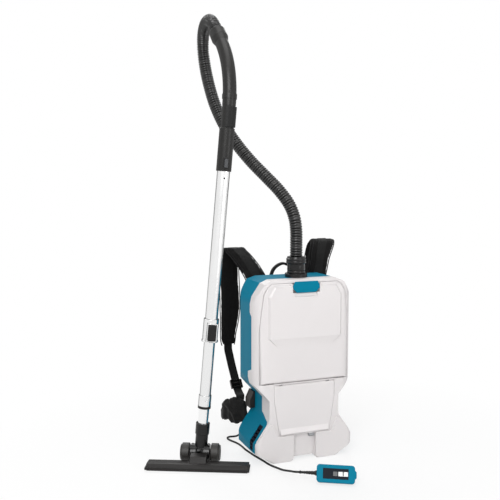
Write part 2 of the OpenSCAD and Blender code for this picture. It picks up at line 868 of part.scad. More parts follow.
module inner_chassis() {
  shelf_z = motor_low_z - mount_t - wall;
  color("dimgray") {
    // Floor of the bag chamber, with the grid under the filter
    difference() {
      intersection() {
        mass(wall + soft_gap);
        translate([-body_w / 2, seat_y + seat_t + 0.2, floor_z]) cube([body_w, body_d, wall]);
      }
      for (i = [-4:4]) translate([i * 20 - 8, filter_y - filter_d / 2 + 8, floor_z - 1])
        cube([16, filter_d - 16, wall + 2]);
    }
    // Bulkhead between the battery bay and the motor bay
    intersection() {
      mass(wall + soft_gap);
      translate([-half_waist, bulkhead_y, 0]) cube([waist_w, wall, floor_z + eps]);
    }
    // Shelf and end stop of the batteries
    translate([-battery_w - battery_gap, battery_y + 4, battery_z - wall - soft_gap])
      cube([2 * (battery_w + battery_gap), bulkhead_y - battery_y - 4 + eps, wall]);
    // Terminals behind the batteries
    both_sides() translate([(battery_gap + battery_w) / 2 - 12, bulkhead_y - 1.7, battery_z + 16])
      cube([24, 1.7 + eps, 50]);
    // Shelf of the motor
    difference() {
      translate([-motor_out_d / 2, bulkhead_y + wall - eps, shelf_z])
        cube([motor_out_d, back_y - wall - soft_gap - bulkhead_y - wall, wall]);
      translate([0, motor_y, shelf_z - 1]) cylinder(d = motor_out_d - 24, h = wall + 2);
    }
    // Standoffs of the control board
    for (x = [-1, 1], z = [0, 1])
      translate([x * (board_w / 2 - 6), bulkhead_y + wall - eps, board_z + 6 + z * (board_h - 12)])
        rotate([-90, 0, 0]) cylinder(d = 6, h = 3);
  }
}

module inlet_port() {
  color("#222222") translate([0, inlet_y, 0]) difference() {
    union() {
      translate([0, 0, body_h + soft_gap]) cylinder(d = inlet_d, h = inlet_flange_h - soft_gap);
      translate([0, 0, port_low_z]) cylinder(d = port_d, h = inlet_top_z - port_low_z - 1);
      translate([0, 0, duct_low_z]) cylinder(d = duct_d, h = port_low_z - duct_low_z + 1);
      // Rails that hold the collar of the dust bag
      translate([-collar_w / 2 - 4, -collar_d / 2, port_low_z]) cube([collar_w + 8, collar_d, 3]);
      both_sides() {
        translate([collar_w / 2 + soft_gap, -collar_d / 2, collar_z - 3.5])
          cube([4 - soft_gap, collar_d, port_low_z - collar_z + 4]);
        translate([collar_w / 2 - 5, -collar_d / 2, collar_z - 3.5]) cube([8, collar_d, 3.5 - soft_gap]);
      }
    }
    translate([0, 0, duct_low_z - 1]) cylinder(d = air_bore, h = 200);
    translate([0, 0, spigot_low_z - 1]) cylinder(d = spigot_d + 2 * running_gap, h = 200);
  }
}

module bag_collar() {
  color("burlywood") translate([0, inlet_y, collar_z]) difference() {
    translate([-collar_w / 2, -collar_d / 2, 0]) cube([collar_w, collar_d, collar_t]);
    translate([0, 0, -1]) cylinder(d = duct_d + 1, h = collar_t + 2);
  }
}

module dust_bag() {
  bulge = 30;
  color("ivory") translate([0, bag_y, 0]) {
    hull() for (x = [-1, 1], y = [-1, 1], z = [0, 1])
      translate([x * (bag_w / 2 - bulge), y * (bag_d / 2 - bulge), bag_low_z + bulge + z * (bag_h - 2 * bulge)])
        sphere(bulge, $fn = 24);
    translate([0, inlet_y - bag_y, bag_low_z + bag_h - 6])
      cylinder(d = duct_d + 26, h = collar_z - bag_low_z - bag_h + 6 - soft_gap);
  }
}

module hepa_filter() {
  pleats = 22;
  pitch = (filter_w - 16) / pleats;
  color("aliceblue") translate([-filter_w / 2, filter_y - filter_d / 2, filter_z]) difference() {
    cube([filter_w, filter_d, filter_h]);
    for (i = [0:pleats - 1]) translate([8 + (i + 0.25) * pitch, 8, 4])
      cube([pitch / 2, filter_d - 16, filter_h]);
  }
}

module motor_casing() {
  vents = 8;
  color("gray") translate([0, motor_y, motor_low_z]) difference() {
    cylinder(d = motor_out_d, h = motor_len);
    difference() {
      translate([0, 0, motor_wall]) cylinder(d = motor_out_d - 2 * motor_wall, h = motor_len - 2 * motor_wall);
      // Spider under the fan and bearing seats
      translate([0, 0, spider_z - motor_low_z]) cylinder(d = motor_out_d, h = motor_wall);
      translate([0, 0, spider_z - motor_low_z - bearing_t]) cylinder(d = bearing_d + 6, h = bearing_t + 1);
      cylinder(d = bearing_d + 6, h = motor_wall + bearing_t);
      // Ledge under the stator
      ring(motor_out_d, ledge_d, stator_low - motor_low_z);
    }
    translate([0, 0, -1]) cylinder(d = bearing_d + 0.02, h = motor_wall + bearing_t - 1);
    translate([0, 0, spider_z - motor_low_z - bearing_t - 1]) cylinder(d = bearing_d + 0.02, h = bearing_t);
    cylinder(d = shaft_d + 3, h = motor_len - motor_wall - 1);
    translate([0, 0, motor_len - motor_wall - 1]) cylinder(d = eye_d, h = 10);
    for (i = [0:vents - 1]) rotate([0, 0, i * 360 / vents]) {
      translate([bearing_d / 2 + 5, -3, spider_z - motor_low_z - 1]) cube([fan_out_d / 2 - bearing_d / 2 - 8, 6, motor_wall + 2]);
      translate([bearing_d / 2 + 5, -3, -1]) cube([7, 6, motor_wall + 2]);
    }
  }
}

module motor_stator() {
  slots = 6;
  color("peru") translate([0, motor_y, stator_low + soft_gap]) difference() {
    cylinder(d = motor_out_d - 2 * motor_wall - 0.1, h = stator_len);
    translate([0, 0, -1]) cylinder(d = core_d + 2, h = stator_len + 2);
    for (i = [0:slots - 1]) rotate([0, 0, i * 360 / slots])
      translate([core_d / 2 + 5, -4, -1]) cube([(motor_out_d - core_d) / 2 - 13, 8, stator_len + 2]);
  }
}

module motor_bearings() {
  color("silver") translate([0, motor_y, 0]) {
    translate([0, 0, motor_low_z + motor_wall]) ring(bearing_d, shaft_d + 2 * running_gap, bearing_t - 2);
    translate([0, 0, spider_z - bearing_t + 0.5]) ring(bearing_d, shaft_d + 2 * running_gap, bearing_t - 2);
  }
}

module fan_rotor() {
  blades = 9;
  fan_z = spider_z + motor_wall + 2;
  fan_h = motor_low_z + motor_len - motor_wall - 3 - fan_z;
  color("lightsteelblue") translate([0, motor_y, 0]) {
    translate([0, 0, motor_low_z + 1]) cylinder(d = shaft_d, h = motor_len - motor_wall - 6);
    translate([0, 0, stator_low + soft_gap]) cylinder(d = core_d, h = stator_len);
    translate([0, 0, fan_z]) {
      cylinder(d = fan_out_d, h = 1.5);
      translate([0, 0, fan_h - 1.5]) ring(fan_out_d, eye_d, 1.5);
      for (i = [0:blades - 1]) rotate([0, 0, i * 360 / blades])
        translate([8, 0, 0]) rotate([0, 0, -20]) translate([0, -0.7, 0.5]) cube([fan_out_d / 2 - 11, 1.4, fan_h - 1]);
    }
  }
}

module motor_mounts() {
  color("black") translate([0, motor_y, 0]) {
    translate([0, 0, motor_low_z - mount_t + soft_gap]) ring(motor_out_d - 6, motor_out_d - 20, mount_t - 2 * soft_gap);
    translate([0, 0, motor_low_z + motor_len + soft_gap]) ring(motor_out_d - 6, motor_out_d - 20, mount_t - 2 * soft_gap);
  }
}

module control_board() {
  board_y = bulkhead_y + wall + 3;
  color("darkgreen") {
    translate([-board_w / 2, board_y, board_z]) cube([board_w, 1.6, board_h]);
    for (i = [0:2]) translate([-board_w / 2 + 12 + i * 18, board_y + 1.5, board_z + 12]) cube([10, 8, 16]);
    translate([board_w / 2 - 18, board_y + 1.5, board_z + board_h - 20]) rotate([-90, 0, 0])
      cylinder(d = 12, h = 16);
  }
}

module battery(x) {
  color("#2b2b2b") translate([x - battery_w / 2, battery_y, battery_z]) difference() {
    union() {
      cube([battery_w, battery_d, battery_h - 14]);
      translate([7, 8, battery_h - 15]) cube([battery_w - 14, battery_d - 10, 15]);
    }
    translate([battery_w / 2 - button_w / 2 - slide_gap, -1, button_at - slide_gap])
      cube([button_w + 2 * slide_gap, button_t - button_proud + button_travel + 1.2, button_h + 2 * slide_gap]);
  }
}

module battery_button(x) {
  color("firebrick")
    translate([x - button_w / 2, battery_y - button_proud, battery_z + button_at])
      cube([button_w, button_t, button_h]);
}

module battery_left() { battery(-(battery_w + battery_gap) / 2); }
module battery_right() { battery((battery_w + battery_gap) / 2); }
module battery_button_left() { battery_button(-(battery_w + battery_gap) / 2); }
module battery_button_right() { battery_button((battery_w + battery_gap) / 2); }

// ---- Harness ----

// Section of a flat pad or strap, with its long edges taken off
function pad_section(w, t) =
  [[w / 2, t / 4], [w / 2 - t / 3, t / 2], [-w / 2 + t / 3, t / 2], [-w / 2, t / 4],
   [-w / 2, -t / 4], [-w / 2 + t / 3, -t / 2], [w / 2 - t / 3, -t / 2], [w / 2, -t / 4]];

// Outline of the plate and pad on the back, shrunk by g
function back_outline(g) = mirrored([
  [plate_w / 2 - 20 - g, plate_z + g], [plate_w / 2 - 20 - g, chamber_z - 20],
  [plate_w / 2 - g, chamber_z + 10], [plate_w / 2 - g, plate_z + plate_h - 20],
  [plate_w / 2 - 20 - g, plate_z + plate_h - g]]);

module harness_plate() {
  color("#303030") difference() {
    front_slab(back_y, plate_back_y) polygon(back_outline(0));
    both_sides() for (z = [chamber_z + 60, chamber_z + 160])
      translate([plate_w / 4 - 14, back_y - 1, z]) cube([28, plate_t + 2, 60]);
  }
}

module back_pad() {
  color("#1c1c1c") difference() {
    front_slab(plate_back_y, pad_back_y) polygon(back_outline(6));
    // Air channel down the middle
    translate([-9, pad_back_y - 8, 0]) cube([18, 10, body_h]);
    // Room for the ends of the straps
    translate([-half_w, plate_back_y - 1, pad_top_z]) cube([body_w, pad_t + 2, body_h]);
  }
}

// Route of the left shoulder pad from the back plate, over the shoulder and down
strap_y = plate_back_y + soft_gap + strap_t / 2;
pad_low_z = 272;
LEFT_PAD = [[-78, strap_y, pad_top_z + 6], [-80, strap_y + 4, 478], [-88, strap_y + 24, 505],
            [-98, strap_y + 52, 530], [-108, strap_y + 82, 550], [-115, strap_y + 104, 560],
            [-119, strap_y + 117, 552], [-121, strap_y + 120, 530], [-122, strap_y + 119, 495],
            [-121, strap_y + 117, 450], [-120, strap_y + 115, 400], [-122, strap_y + 114, 350],
            [-127, strap_y + 114, 300], [-127, strap_y + 114, pad_low_z]];
LEFT_WIDTHS = [1, 1, 1, 1, 1, 1, 1, 1, 1, 1, 1, 0.9, 0.78, 0.7];
RIGHT_PAD = [[92, strap_y, pad_top_z + 6], [104, strap_y + 2, 478], [114, strap_y + 6, 512],
             [123, strap_y + 14, 542], [136, strap_y + 28, 566], [148, strap_y + 46, 579],
             [155, strap_y + 68, 580], [156, strap_y + 90, 568], [154, strap_y + 104, 542],
             [150, strap_y + 111, 500], [145, strap_y + 113, 455], [139, strap_y + 114, 400],
             [133, strap_y + 114, 350], [127, strap_y + 114, 300], [127, strap_y + 114, pad_low_z]];
RIGHT_WIDTHS = [1, 1, 1, 1.04, 1.1, 1.14, 1.12, 1.06, 1, 1, 1, 1, 0.9, 0.78, 0.7];
WEBBING = [[-127, strap_y + 114, pad_low_z - soft_gap], [-127, strap_y + 114, 262], [-124, strap_y + 109, 240],
           [-120, strap_y + 96, 206], [-118, strap_y + 77, 177], [-118, strap_y + 58, 153],
           [-120, strap_y + 42, 148], [-123, strap_y + 28, 147], [-124, strap_y + 19, 146.6]];

module shoulder_pad(route, widths) {
  color("#1c1c1c") sweep(route, pad_section(strap_w, strap_t), [1, 0, 0], widths);
}

module shoulder_pad_left() { shoulder_pad(LEFT_PAD, LEFT_WIDTHS); }
module shoulder_pad_right() { shoulder_pad(RIGHT_PAD, RIGHT_WIDTHS); }

module strap_webbing() {
  color("#262626") both_sides() sweep(WEBBING, pad_section(webbing_w, webbing_t), [1, 0, 0]);
}

// Ladder buckles round the webbing
module strap_buckles() {
  run = unit(WEBBING[5] - WEBBING[4]);
  color("#333333") both_sides()
    translate((WEBBING[4] + WEBBING[5]) / 2) rotate([atan2(run[2], run[1]), 0, 0]) difference() {
      cube([webbing_w + 10, 26, 9], center = true);
      cube([webbing_w + 2, 40, webbing_t + 1], center = true);
      for (y = [-6, 6]) translate([0, y, 0]) cube([webbing_w - 4, 5, 10], center = true);
    }
}

// Sloped brackets that tie the belt and the webbing to the waist
module belt_brackets() {
  color("#3a3230") both_sides() translate([half_waist, bracket_y, bracket_z]) difference() {
    front_slab(0, bracket_d)
      polygon([[0, 0], [bracket_w, 0], [bracket_w, bracket_h * 0.5], [5, bracket_h - 0.2], [0, bracket_h - 0.2]]);
    translate([3, bracket_d - 9, 6]) cube([bracket_w, 4, bracket_h - 12]);
  }
}

belt_y = bracket_y + bracket_d + soft_gap;
BELT = [[-half_waist - bracket_w / 2 - 2, belt_y + 5, 108], [-123, belt_y + 16, 105], [-136, belt_y + 29, 102],
        [-147, belt_y + 44, 98], [-153, belt_y + 62, 92], [-155, belt_y + 82, 81],
        [-152, belt_y + 103, 70], [-144, belt_y + 121, 62], [-133, belt_y + 132, 62]];
// The wings narrow to the webbing of the buckle
BELT_WIDTHS = [0.6, 0.78, 0.8, 0.8, 0.6, 0.42, 0.36, 0.34, 0.34];

module belt_wing() {
  color("#1c1c1c") sweep(BELT, pad_section(belt_w, belt_t), [0, 0, 1], BELT_WIDTHS);
}

module belt_left() { belt_wing(); }
module belt_right() { mirror([1, 0, 0]) belt_wing(); }

// The two halves of the belt buckle, parted, at the ends of the wings
module belt_buckle() {
  tip = BELT[len(BELT) - 1];
  run = unit(tip - BELT[len(BELT) - 2]);
  turn = atan2(run[1], run[0]);
  color("#2a2a2a") {
    translate(tip) rotate([0, 0, turn]) {
      translate([soft_gap, -5, -20]) cube([26, 10, 40]);
      for (z = [-16, 0, 10]) translate([26, -3, z]) cube([24, 6, 6]);
    }
    mirror([1, 0, 0]) translate(tip) rotate([0, 0, turn]) translate([soft_gap, -8, -24]) difference() {
      cube([40, 16, 48]);
      translate([14, 4, 6]) cube([30, 8, 36]);
    }
  }
}

loop_y = plate_back_y + soft_gap + loop_w / 2;
LOOP_HALF = [[38, loop_y, pad_top_z + 4], [38, loop_y, 468], [36, loop_y, 490], [28, loop_y, 508], [14, loop_y, 519]];
LOOP = concat(LOOP_HALF, [[0, loop_y, 523]],
              [for (i = [len(LOOP_HALF) - 1:-1:0]) [-LOOP_HALF[i][0], loop_y, LOOP_HALF[i][2]]]);

module grab_loop() {
  color("#262626") sweep(LOOP, pad_section(loop_w, loop_t), [0, 1, 0]);
}

// ---- Hose ----

function circle_section(d, n) = [for (i = [0:n - 1]) d / 2 * [cos(i * 360 / n), sin(i * 360 / n)]];

module inlet_cuff() {
  color("#222222") translate([0, inlet_y, 0]) difference() {
    union() {
      translate([0, 0, spigot_low_z]) cylinder(d = spigot_d, h = inlet_top_z - spigot_low_z + 1);
      translate([0, 0, inlet_top_z + soft_gap]) cylinder(d = cuff_d, h = hose_low_z - inlet_top_z - soft_gap);
      translate([0, 0, hose_low_z - 18]) cylinder(d = cuff_d + 5, h = 13);
    }
    translate([0, 0, spigot_low_z - 1]) cylinder(d = air_bore, h = 200);
  }
}

module hose() {
  color("#262626") sweep(HOSE, circle_section(hose_d, 12), [0.9, 0.43, 0]);
}

// ---- Wand ----

// Places its children in the wand's frame, s along the tube
module at_wand(s) {
  translate(axle) rotate([0, 0, wand_turn]) rotate([0, wand_tilt, 0]) translate([0, 0, s]) children();
}

// Places its children on the wand's side that faces the buttons, with +X outward
module at_buttons(s) {
  at_wand(s) rotate([0, 0, button_turn]) children();
}

// Places its children at the upper end of the handle's bend, +Z along the hose
module at_handle_end(s) {
  at_wand(bend_start) rotate([0, 0, handle_turn]) translate([0, bend_r * (1 - cos(handle_bend)), bend_r * sin(handle_bend)])
    rotate([-handle_bend, 0, 0]) translate([0, 0, s]) children();
}

// A pipe along the handle's bend, between two of its angles
module bend(outer, inner, from, to) {
  at_wand(bend_start) rotate([0, 0, handle_turn]) translate([0, bend_r, 0]) rotate([90, 0, -90])
    rotate([0, 0, from]) rotate_extrude(angle = to - from) translate([bend_r, 0]) difference() {
      circle(d = outer);
      circle(d = inner);
    }
}

module handle() {
  color("#222222") {
    // Socket for the upper tube, with the housing of the lock button
    difference() {
      union() {
        at_wand(socket_low) cylinder(d = socket_d, h = socket_len);
        at_wand(socket_low + socket_len - 1) cylinder(d = handle_d, h = bend_start - socket_low - socket_len + 1);
        at_buttons(lock_button_at) translate([0, -lock_w / 2 - 3, -lock_len / 2 - 3])
          cube([socket_d / 2 + 3, lock_w + 6, lock_len + 6]);
      }
      at_wand(socket_low - 1) cylinder(d = outer_tube_d + 2 * running_gap, h = socket_overlap + 1);
      at_wand(socket_low - 1) cylinder(d = air_bore, h = bend_start - socket_low + 2);
      at_buttons(lock_button_at) translate([button_floor, -lock_w / 2 - slide_gap, -lock_len / 2 - slide_gap])
        cube([20, lock_w + 2 * slide_gap, lock_len + 2 * slide_gap]);
    }
    bend(handle_d + 1, air_bore - 0.4, 0, handle_bend);
    bend(handle_d + 4, handle_d - 2, 4, 7);
    // Flared end and the spigot in the cuff
    difference() {
      union() {
        at_handle_end(0) cylinder(d1 = handle_d, d2 = handle_flare_d, h = handle_flare_len);
        at_handle_end(handle_flare_len - 1) cylinder(d = handle_spigot_d, h = handle_end_len + 1);
      }
      at_handle_end(-1) cylinder(d = air_bore, h = handle_flare_len + handle_end_len + 2);
    }
  }
}

module handle_grip() {
  grip_len = bend_start - socket_low - socket_len - 6;
  color("#3a3a3a") at_wand(socket_low + socket_len + 3) intersection() {
    ring(handle_d + 2 * grip_t, handle_d + 0.1, grip_len);
    rotate([0, 0, grip_turn]) translate([0, -handle_d, 0]) cube([handle_d, 2 * handle_d, grip_len]);
  }
}

module handle_lock_button() {
  color("gray") at_buttons(lock_button_at)
    translate([button_floor + slide_travel + slide_gap, -lock_w / 2, -lock_len / 2])
      cube([socket_d / 2 + 3 + slide_travel + 0.5 - button_floor - slide_travel - slide_gap, lock_w, lock_len]);
}

module handle_cuff() {
  color("#222222") at_handle_end(handle_flare_len + soft_gap) difference() {
    cylinder(d = handle_cuff_d, h = handle_cuff_len);
    translate([0, 0, -1]) cylinder(d = handle_spigot_d + 2 * running_gap, h = handle_end_len + 2);
    translate([0, 0, handle_end_len - soft_gap]) cylinder(d = hose_d + 1.6, h = handle_cuff_len);
  }
}

module outer_tube() {
  color("silver") difference() {
    at_wand(outer_low) ring(outer_tube_d, outer_tube_d - 2 * tube_wall, outer_tube_len);
    at_buttons(socket_low - 18) rotate([0, 90, 0]) cylinder(d = lock_hole_d, h = outer_tube_d);
  }
}

module tube_sleeve() {
  color("silver") difference() {
    union() {
      at_wand(sleeve_low) cylinder(d = sleeve_d, h = sleeve_len);
      at_wand(sleeve_low) cylinder(d = sleeve_d + 3, h = 5);
      at_buttons(tube_button_at) translate([0, -tube_button_w / 2 - 3, -tube_button_h / 2 - 2])
        cube([sleeve_d / 2 + 2, tube_button_w + 6, tube_button_h + 4]);
    }
    at_wand(sleeve_low - 1) cylinder(d = inner_tube_d + 2 * running_gap, h = 40);
    at_wand(outer_low - 0.2) cylinder(d = outer_tube_d + 0.06, h = sleeve_len);
    at_buttons(tube_button_at)
      translate([button_floor, -tube_button_w / 2 - slide_gap, -tube_button_h / 2 - slide_gap])
        cube([20, tube_button_w + 2 * slide_gap, tube_button_h + 2 * slide_gap]);
  }
}

module tube_release_button() {
  color("#151515") at_buttons(tube_button_at)
    translate([button_floor + slide_travel + slide_gap, 0, 0]) intersection() {
      translate([0, -tube_button_w / 2, -tube_button_h / 2])
        cube([sleeve_d / 2 + 2 + 0.5 - button_floor - slide_gap, tube_button_w, tube_button_h]);
      rotate([0, 90, 0]) cylinder(d = tube_button_h, h = 20);
    }
}

module inner_tube() {
  bore = inner_tube_d - 2 * tube_wall;
  color("gainsboro") difference() {
    union() {
      at_wand(inner_low) cylinder(d = inner_tube_d, h = inner_tube_len);
      at_wand(inner_low) cylinder(d = flare_d, h = flare_top - inner_low);
      at_wand(inner_low + inner_tube_len - 14)
        cylinder(d = outer_tube_d - 2 * tube_wall - 2 * running_gap, h = 12);
    }
    at_wand(inner_low - 1) cylinder(d = bore, h = inner_tube_len + 2);
    at_buttons(flare_top - 11) rotate([0, 90, 0]) cylinder(d = lock_hole_d, h = flare_d);
  }
}

module tube_seal_ring() {
  color("black") at_wand(pipe_top) ring(flare_d + 1, pipe_d + 0.1, seal_t - 0.1);
}

module nozzle_pipe() {
  color("silver") at_wand(pipe_low) ring(pipe_d, pipe_d - 2 * tube_wall, flare_top - pipe_low);
}

// ---- Nozzle ----

// Places its children in the nozzle's frame: on the floor, +X along the nozzle
module at_nozzle() {
  translate([axle[0], axle[1], 0]) rotate([0, 0, nozzle_turn]) children();
}

// Places its children on the axle of the nozzle, which lies on X
module at_axle() {
  at_nozzle() translate([0, 0, axle[2]]) children();
}

module nozzle_neck() {
  ribs = 6;
  color("#222222") difference() {
    union() {
      at_axle() rotate([0, 90, 0]) cylinder(d = barrel_d, h = barrel_w, center = true);
      for (i = [0:ribs - 1]) at_axle() translate([(i - (ribs - 1) / 2) * barrel_w / ribs, 0, 0])
        rotate([0, 90, 0]) cylinder(d = barrel_d + 3, h = 3, center = true);
      at_wand(0) cylinder(d = neck_d - 4, h = neck_top - 20);
      at_wand(neck_top - 30) cylinder(d = neck_d, h = 30);
    }
    at_wand(pipe_low - soft_gap) cylinder(d = pipe_d + 2 * running_gap, h = neck_top);
    at_wand(10) cylinder(d = pipe_d - 4, h = neck_top);
    at_axle() rotate([0, 90, 0]) cylinder(d = stub_d + 2 * running_gap, h = barrel_w + 2, center = true);
    // Way in from the channel of the base
    at_axle() rotate([90, 0, 0]) cylinder(d = 20, h = barrel_d);
  }
}

module nozzle_base() {
  base_y = -nozzle_front;
  color("#222222") at_nozzle() difference() {
    union() {
      // Sole with its sloped front
      side_slab(nozzle_w - 2 * skirt_w) polygon([
        [base_y + 1, sole_z], [base_y + 1, sole_z + 8], [base_y + 14, nozzle_h],
        [base_y + nozzle_d, nozzle_h - 2], [base_y + nozzle_d, sole_z]]);
      // Bumper along the foot of the sole
      side_slab(nozzle_w) polygon([[base_y, sole_z], [base_y, sole_z + skirt_h],
                                   [base_y + nozzle_d - 2, sole_z + skirt_h], [base_y + nozzle_d - 2, sole_z]]);
      // Hood of the air channel and the two ears that carry the axle
      side_slab(barrel_w - 8)
        polygon([[base_y + 16, nozzle_h - 3], [base_y + 30, axle[2] + 6], [-barrel_d / 2 - 4, axle[2] + 8],
                 [-barrel_d / 2 - 4, sole_z + 2], [base_y + nozzle_d - 2, sole_z + 2]]);
      both_sides() translate([barrel_w / 2 + soft_gap, 0, 0]) {
        translate([ear_t / 2, 0, 0]) side_slab(ear_t)
          polygon([[base_y + nozzle_d - 8, sole_z + 2], [base_y + nozzle_d - 8, nozzle_h - 3], [-6, axle[2] + 8],
                   [6, axle[2] + 8], [6, axle[2] - 8], [-8, axle[2] - 10], [-20, sole_z + 2]]);
        translate([-8, 0, axle[2]]) rotate([0, 90, 0]) cylinder(d = stub_d, h = 8 + ear_t + wheel_w + 1);
      }
    }
    // Suction mouth between the brushes and the channel up to the neck
    translate([-nozzle_w / 2 + 14, base_y + 11, -1]) cube([nozzle_w - 28, nozzle_d - 24, nozzle_h - 4]);
    translate([-mouth_w / 2, base_y + 30, nozzle_h - 8]) cube([mouth_w, nozzle_front, 16]);
  }
}

module nozzle_wheels() {
  color("#1a1a1a") at_axle() both_sides() translate([barrel_w / 2 + ear_t + 2 * soft_gap, 0, 0]) rotate([0, 90, 0])
    difference() {
      union() {
        cylinder(d = wheel_d, h = wheel_w - 4);
        cylinder(d = wheel_d - 8, h = wheel_w);
      }
      translate([0, 0, -1]) cylinder(d = stub_d + 2 * running_gap, h = wheel_w + 2);
    }
}

module nozzle_brushes() {
  color("dimgray") at_nozzle() for (y = [-nozzle_front + 4, -nozzle_front + nozzle_d - 8])
    translate([-nozzle_w / 2 + 5, y, 0]) cube([nozzle_w - 10, 4, sole_z]);
}

// ---- Remote control ----

// Places its children in the remote control's frame: +X along it, the keys on -Y
module at_remote() {
  translate(remote_at) rotate([0, 0, remote_turn]) rotate([-remote_lean, 0, 0]) children();
}

module remote_case() {
  tip = 4;
  r_corner = 8;
  color("darkcyan") at_remote() difference() {
    front_slab(-remote_t / 2, remote_t / 2) {
      translate([0, remote_h / 2]) {
        square([remote_len - 2 * r_corner, remote_h], center = true);
        square([remote_len, remote_h - 2 * r_corner], center = true);
        for (x = [-1, 1], z = [-1, 1])
          translate([x * (remote_len / 2 - r_corner), z * (remote_h / 2 - r_corner)]) circle(r_corner);
      }
      polygon([[remote_len / 2 - 2, 10], [remote_len / 2 + tip, 15], [remote_len / 2 + tip, remote_h - 15],
               [remote_len / 2 - 2, remote_h - 10]]);
    }
    translate([-panel_len / 2, -remote_t / 2 - 1, (remote_h - panel_h) / 2]) cube([panel_len, 1 + panel_t, panel_h]);
    for (x = key_places) translate([x - key_w / 2 - 0.2, -remote_t / 2 - 1, remote_h / 2 - key_w / 2 - 0.2])
      cube([key_w + 0.4, 1 + key_t + key_travel, key_w + 0.4]);
    translate([0, remote_t / 2 - 4, remote_h - 8]) rotate([0, 90, 0])
      cylinder(r = clip_pin_r + running_gap, h = clip_w + 8, center = true);
    translate([-clip_w / 2 - 0.5, remote_t / 2 - 8, remote_h - 13]) cube([clip_w + 1, 20, 20]);
  }
}

module remote_panel() {
  color("#2c3038") at_remote() translate([0, -remote_t / 2 + 0.1, 0]) difference() {
    translate([-panel_len / 2 + 0.2, 0, (remote_h - panel_h) / 2 + 0.2])
      cube([panel_len - 0.4, panel_t - 0.1, panel_h - 0.4]);
    for (x = key_places) translate([x - key_w / 2 - 0.3, -1, remote_h / 2 - key_w / 2 - 0.3])
      cube([key_w + 0.6, 5, key_w + 0.6]);
  }
}

// A key of the remote control at x
module remote_key(x) {
  color("white") at_remote()
    translate([x - key_w / 2, -remote_t / 2 - key_proud, remote_h / 2 - key_w / 2]) cube([key_w, key_t, key_w]);
}

module mode_button() { remote_key(key_places[0]); }
module power_button() { remote_key(key_places[1]); }

// The belt clip, which also props the remote control up
module remote_clip() {
  foot = remote_t / 2 + clip_foot;
  color("#222222") at_remote() {
    translate([0, remote_t / 2 - 4, remote_h - 8]) rotate([0, 90, 0])
      cylinder(r = clip_pin_r, h = clip_w + 7, center = true);
    side_slab(clip_w) polygon([
      [remote_t / 2 - 6, remote_h - 9.5], [remote_t / 2 - 6, remote_h - 6], [remote_t / 2 + 3, remote_h - 5],
      [remote_t / 2 + 5, remote_h - 9], [foot, foot_rise + 3], [foot, foot_rise],
      [foot - clip_t, foot_rise], [remote_t / 2 + 2.5, remote_h - 10]]);
  }
}

// Strain reliefs of the lead, one on the housing and one on the remote control
module lead_gland() {
  color("#1e1e1e") {
    translate([lead_x, back_y - wall - 2, lead_z]) rotate([-90, 0, 0]) {
      cylinder(d = gland_d, h = wall + 2.5);
      translate([0, 0, wall + 2 + soft_gap]) cylinder(d1 = gland_d + 2, d2 = lead_d + 1, h = housing_gland_len);
    }
    at_remote() translate([-remote_len / 2 - 0.1, 0, remote_h / 2]) rotate([0, -90, 0])
      cylinder(d1 = gland_d + 3, d2 = lead_d + 2.5, h = gland_len);
  }
}

module remote_lead() {
  color("#1e1e1e") sweep(LEAD, circle_section(lead_d, 8), [0, 0, 1]);
}

front_housing();
rear_housing();
inner_chassis();
inlet_port();
bag_collar();
dust_bag();
hepa_filter();
motor_casing();
motor_stator();
motor_bearings();
fan_rotor();
motor_mounts();
control_board();
battery_left();
battery_right();
battery_button_left();
battery_button_right();
exhaust_grilles();
housing_screws();
hinge_pins();
bag_door();
door_gasket();
door_latch();
latch_spring();
battery_door();
battery_catch();
harness_plate();
back_pad();
shoulder_pad_left();
shoulder_pad_right();
strap_webbing();
strap_buckles();
belt_brackets();
belt_left();
belt_right();
belt_buckle();
grab_loop();
inlet_cuff();
hose();
handle_cuff();
handle();
handle_grip();
handle_lock_button();
outer_tube();
tube_sleeve();
tube_release_button();
inner_tube();
tube_seal_ring();
nozzle_pipe();
nozzle_neck();
nozzle_base();
nozzle_wheels();
nozzle_brushes();
remote_case();
remote_panel();
power_button();
mode_button();
remote_clip();
lead_gland();
remote_lead();
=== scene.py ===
"""Backpack vacuum cleaner: housing, harness, hose, wand, nozzle and remote control."""
import json
import math

import bmesh
import bpy
import numpy as np
from mathutils import Matrix, Vector
from mathutils.bvhtree import BVHTree

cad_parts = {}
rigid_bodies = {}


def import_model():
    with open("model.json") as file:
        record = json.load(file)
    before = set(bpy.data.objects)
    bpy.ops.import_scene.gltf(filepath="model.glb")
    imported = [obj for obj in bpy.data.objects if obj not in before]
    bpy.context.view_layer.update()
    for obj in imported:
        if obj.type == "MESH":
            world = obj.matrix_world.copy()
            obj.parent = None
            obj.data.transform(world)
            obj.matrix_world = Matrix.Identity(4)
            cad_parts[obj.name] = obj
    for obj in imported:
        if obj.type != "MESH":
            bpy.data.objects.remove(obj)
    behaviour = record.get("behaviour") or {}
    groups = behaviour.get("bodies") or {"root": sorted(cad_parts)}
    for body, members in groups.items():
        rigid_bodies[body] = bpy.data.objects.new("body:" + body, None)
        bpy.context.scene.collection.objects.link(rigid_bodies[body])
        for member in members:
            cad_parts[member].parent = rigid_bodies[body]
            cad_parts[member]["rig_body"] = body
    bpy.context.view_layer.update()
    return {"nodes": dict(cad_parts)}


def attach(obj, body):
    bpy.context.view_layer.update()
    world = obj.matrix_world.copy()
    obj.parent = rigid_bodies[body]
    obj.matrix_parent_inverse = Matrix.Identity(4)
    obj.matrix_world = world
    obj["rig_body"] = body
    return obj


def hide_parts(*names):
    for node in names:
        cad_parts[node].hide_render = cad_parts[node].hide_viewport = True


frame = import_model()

MM = 0.001
scene = bpy.context.scene
scene.view_settings.view_transform = "Standard"


# ---- Frames of the turned parts, in millimetres, as in the part's source ----

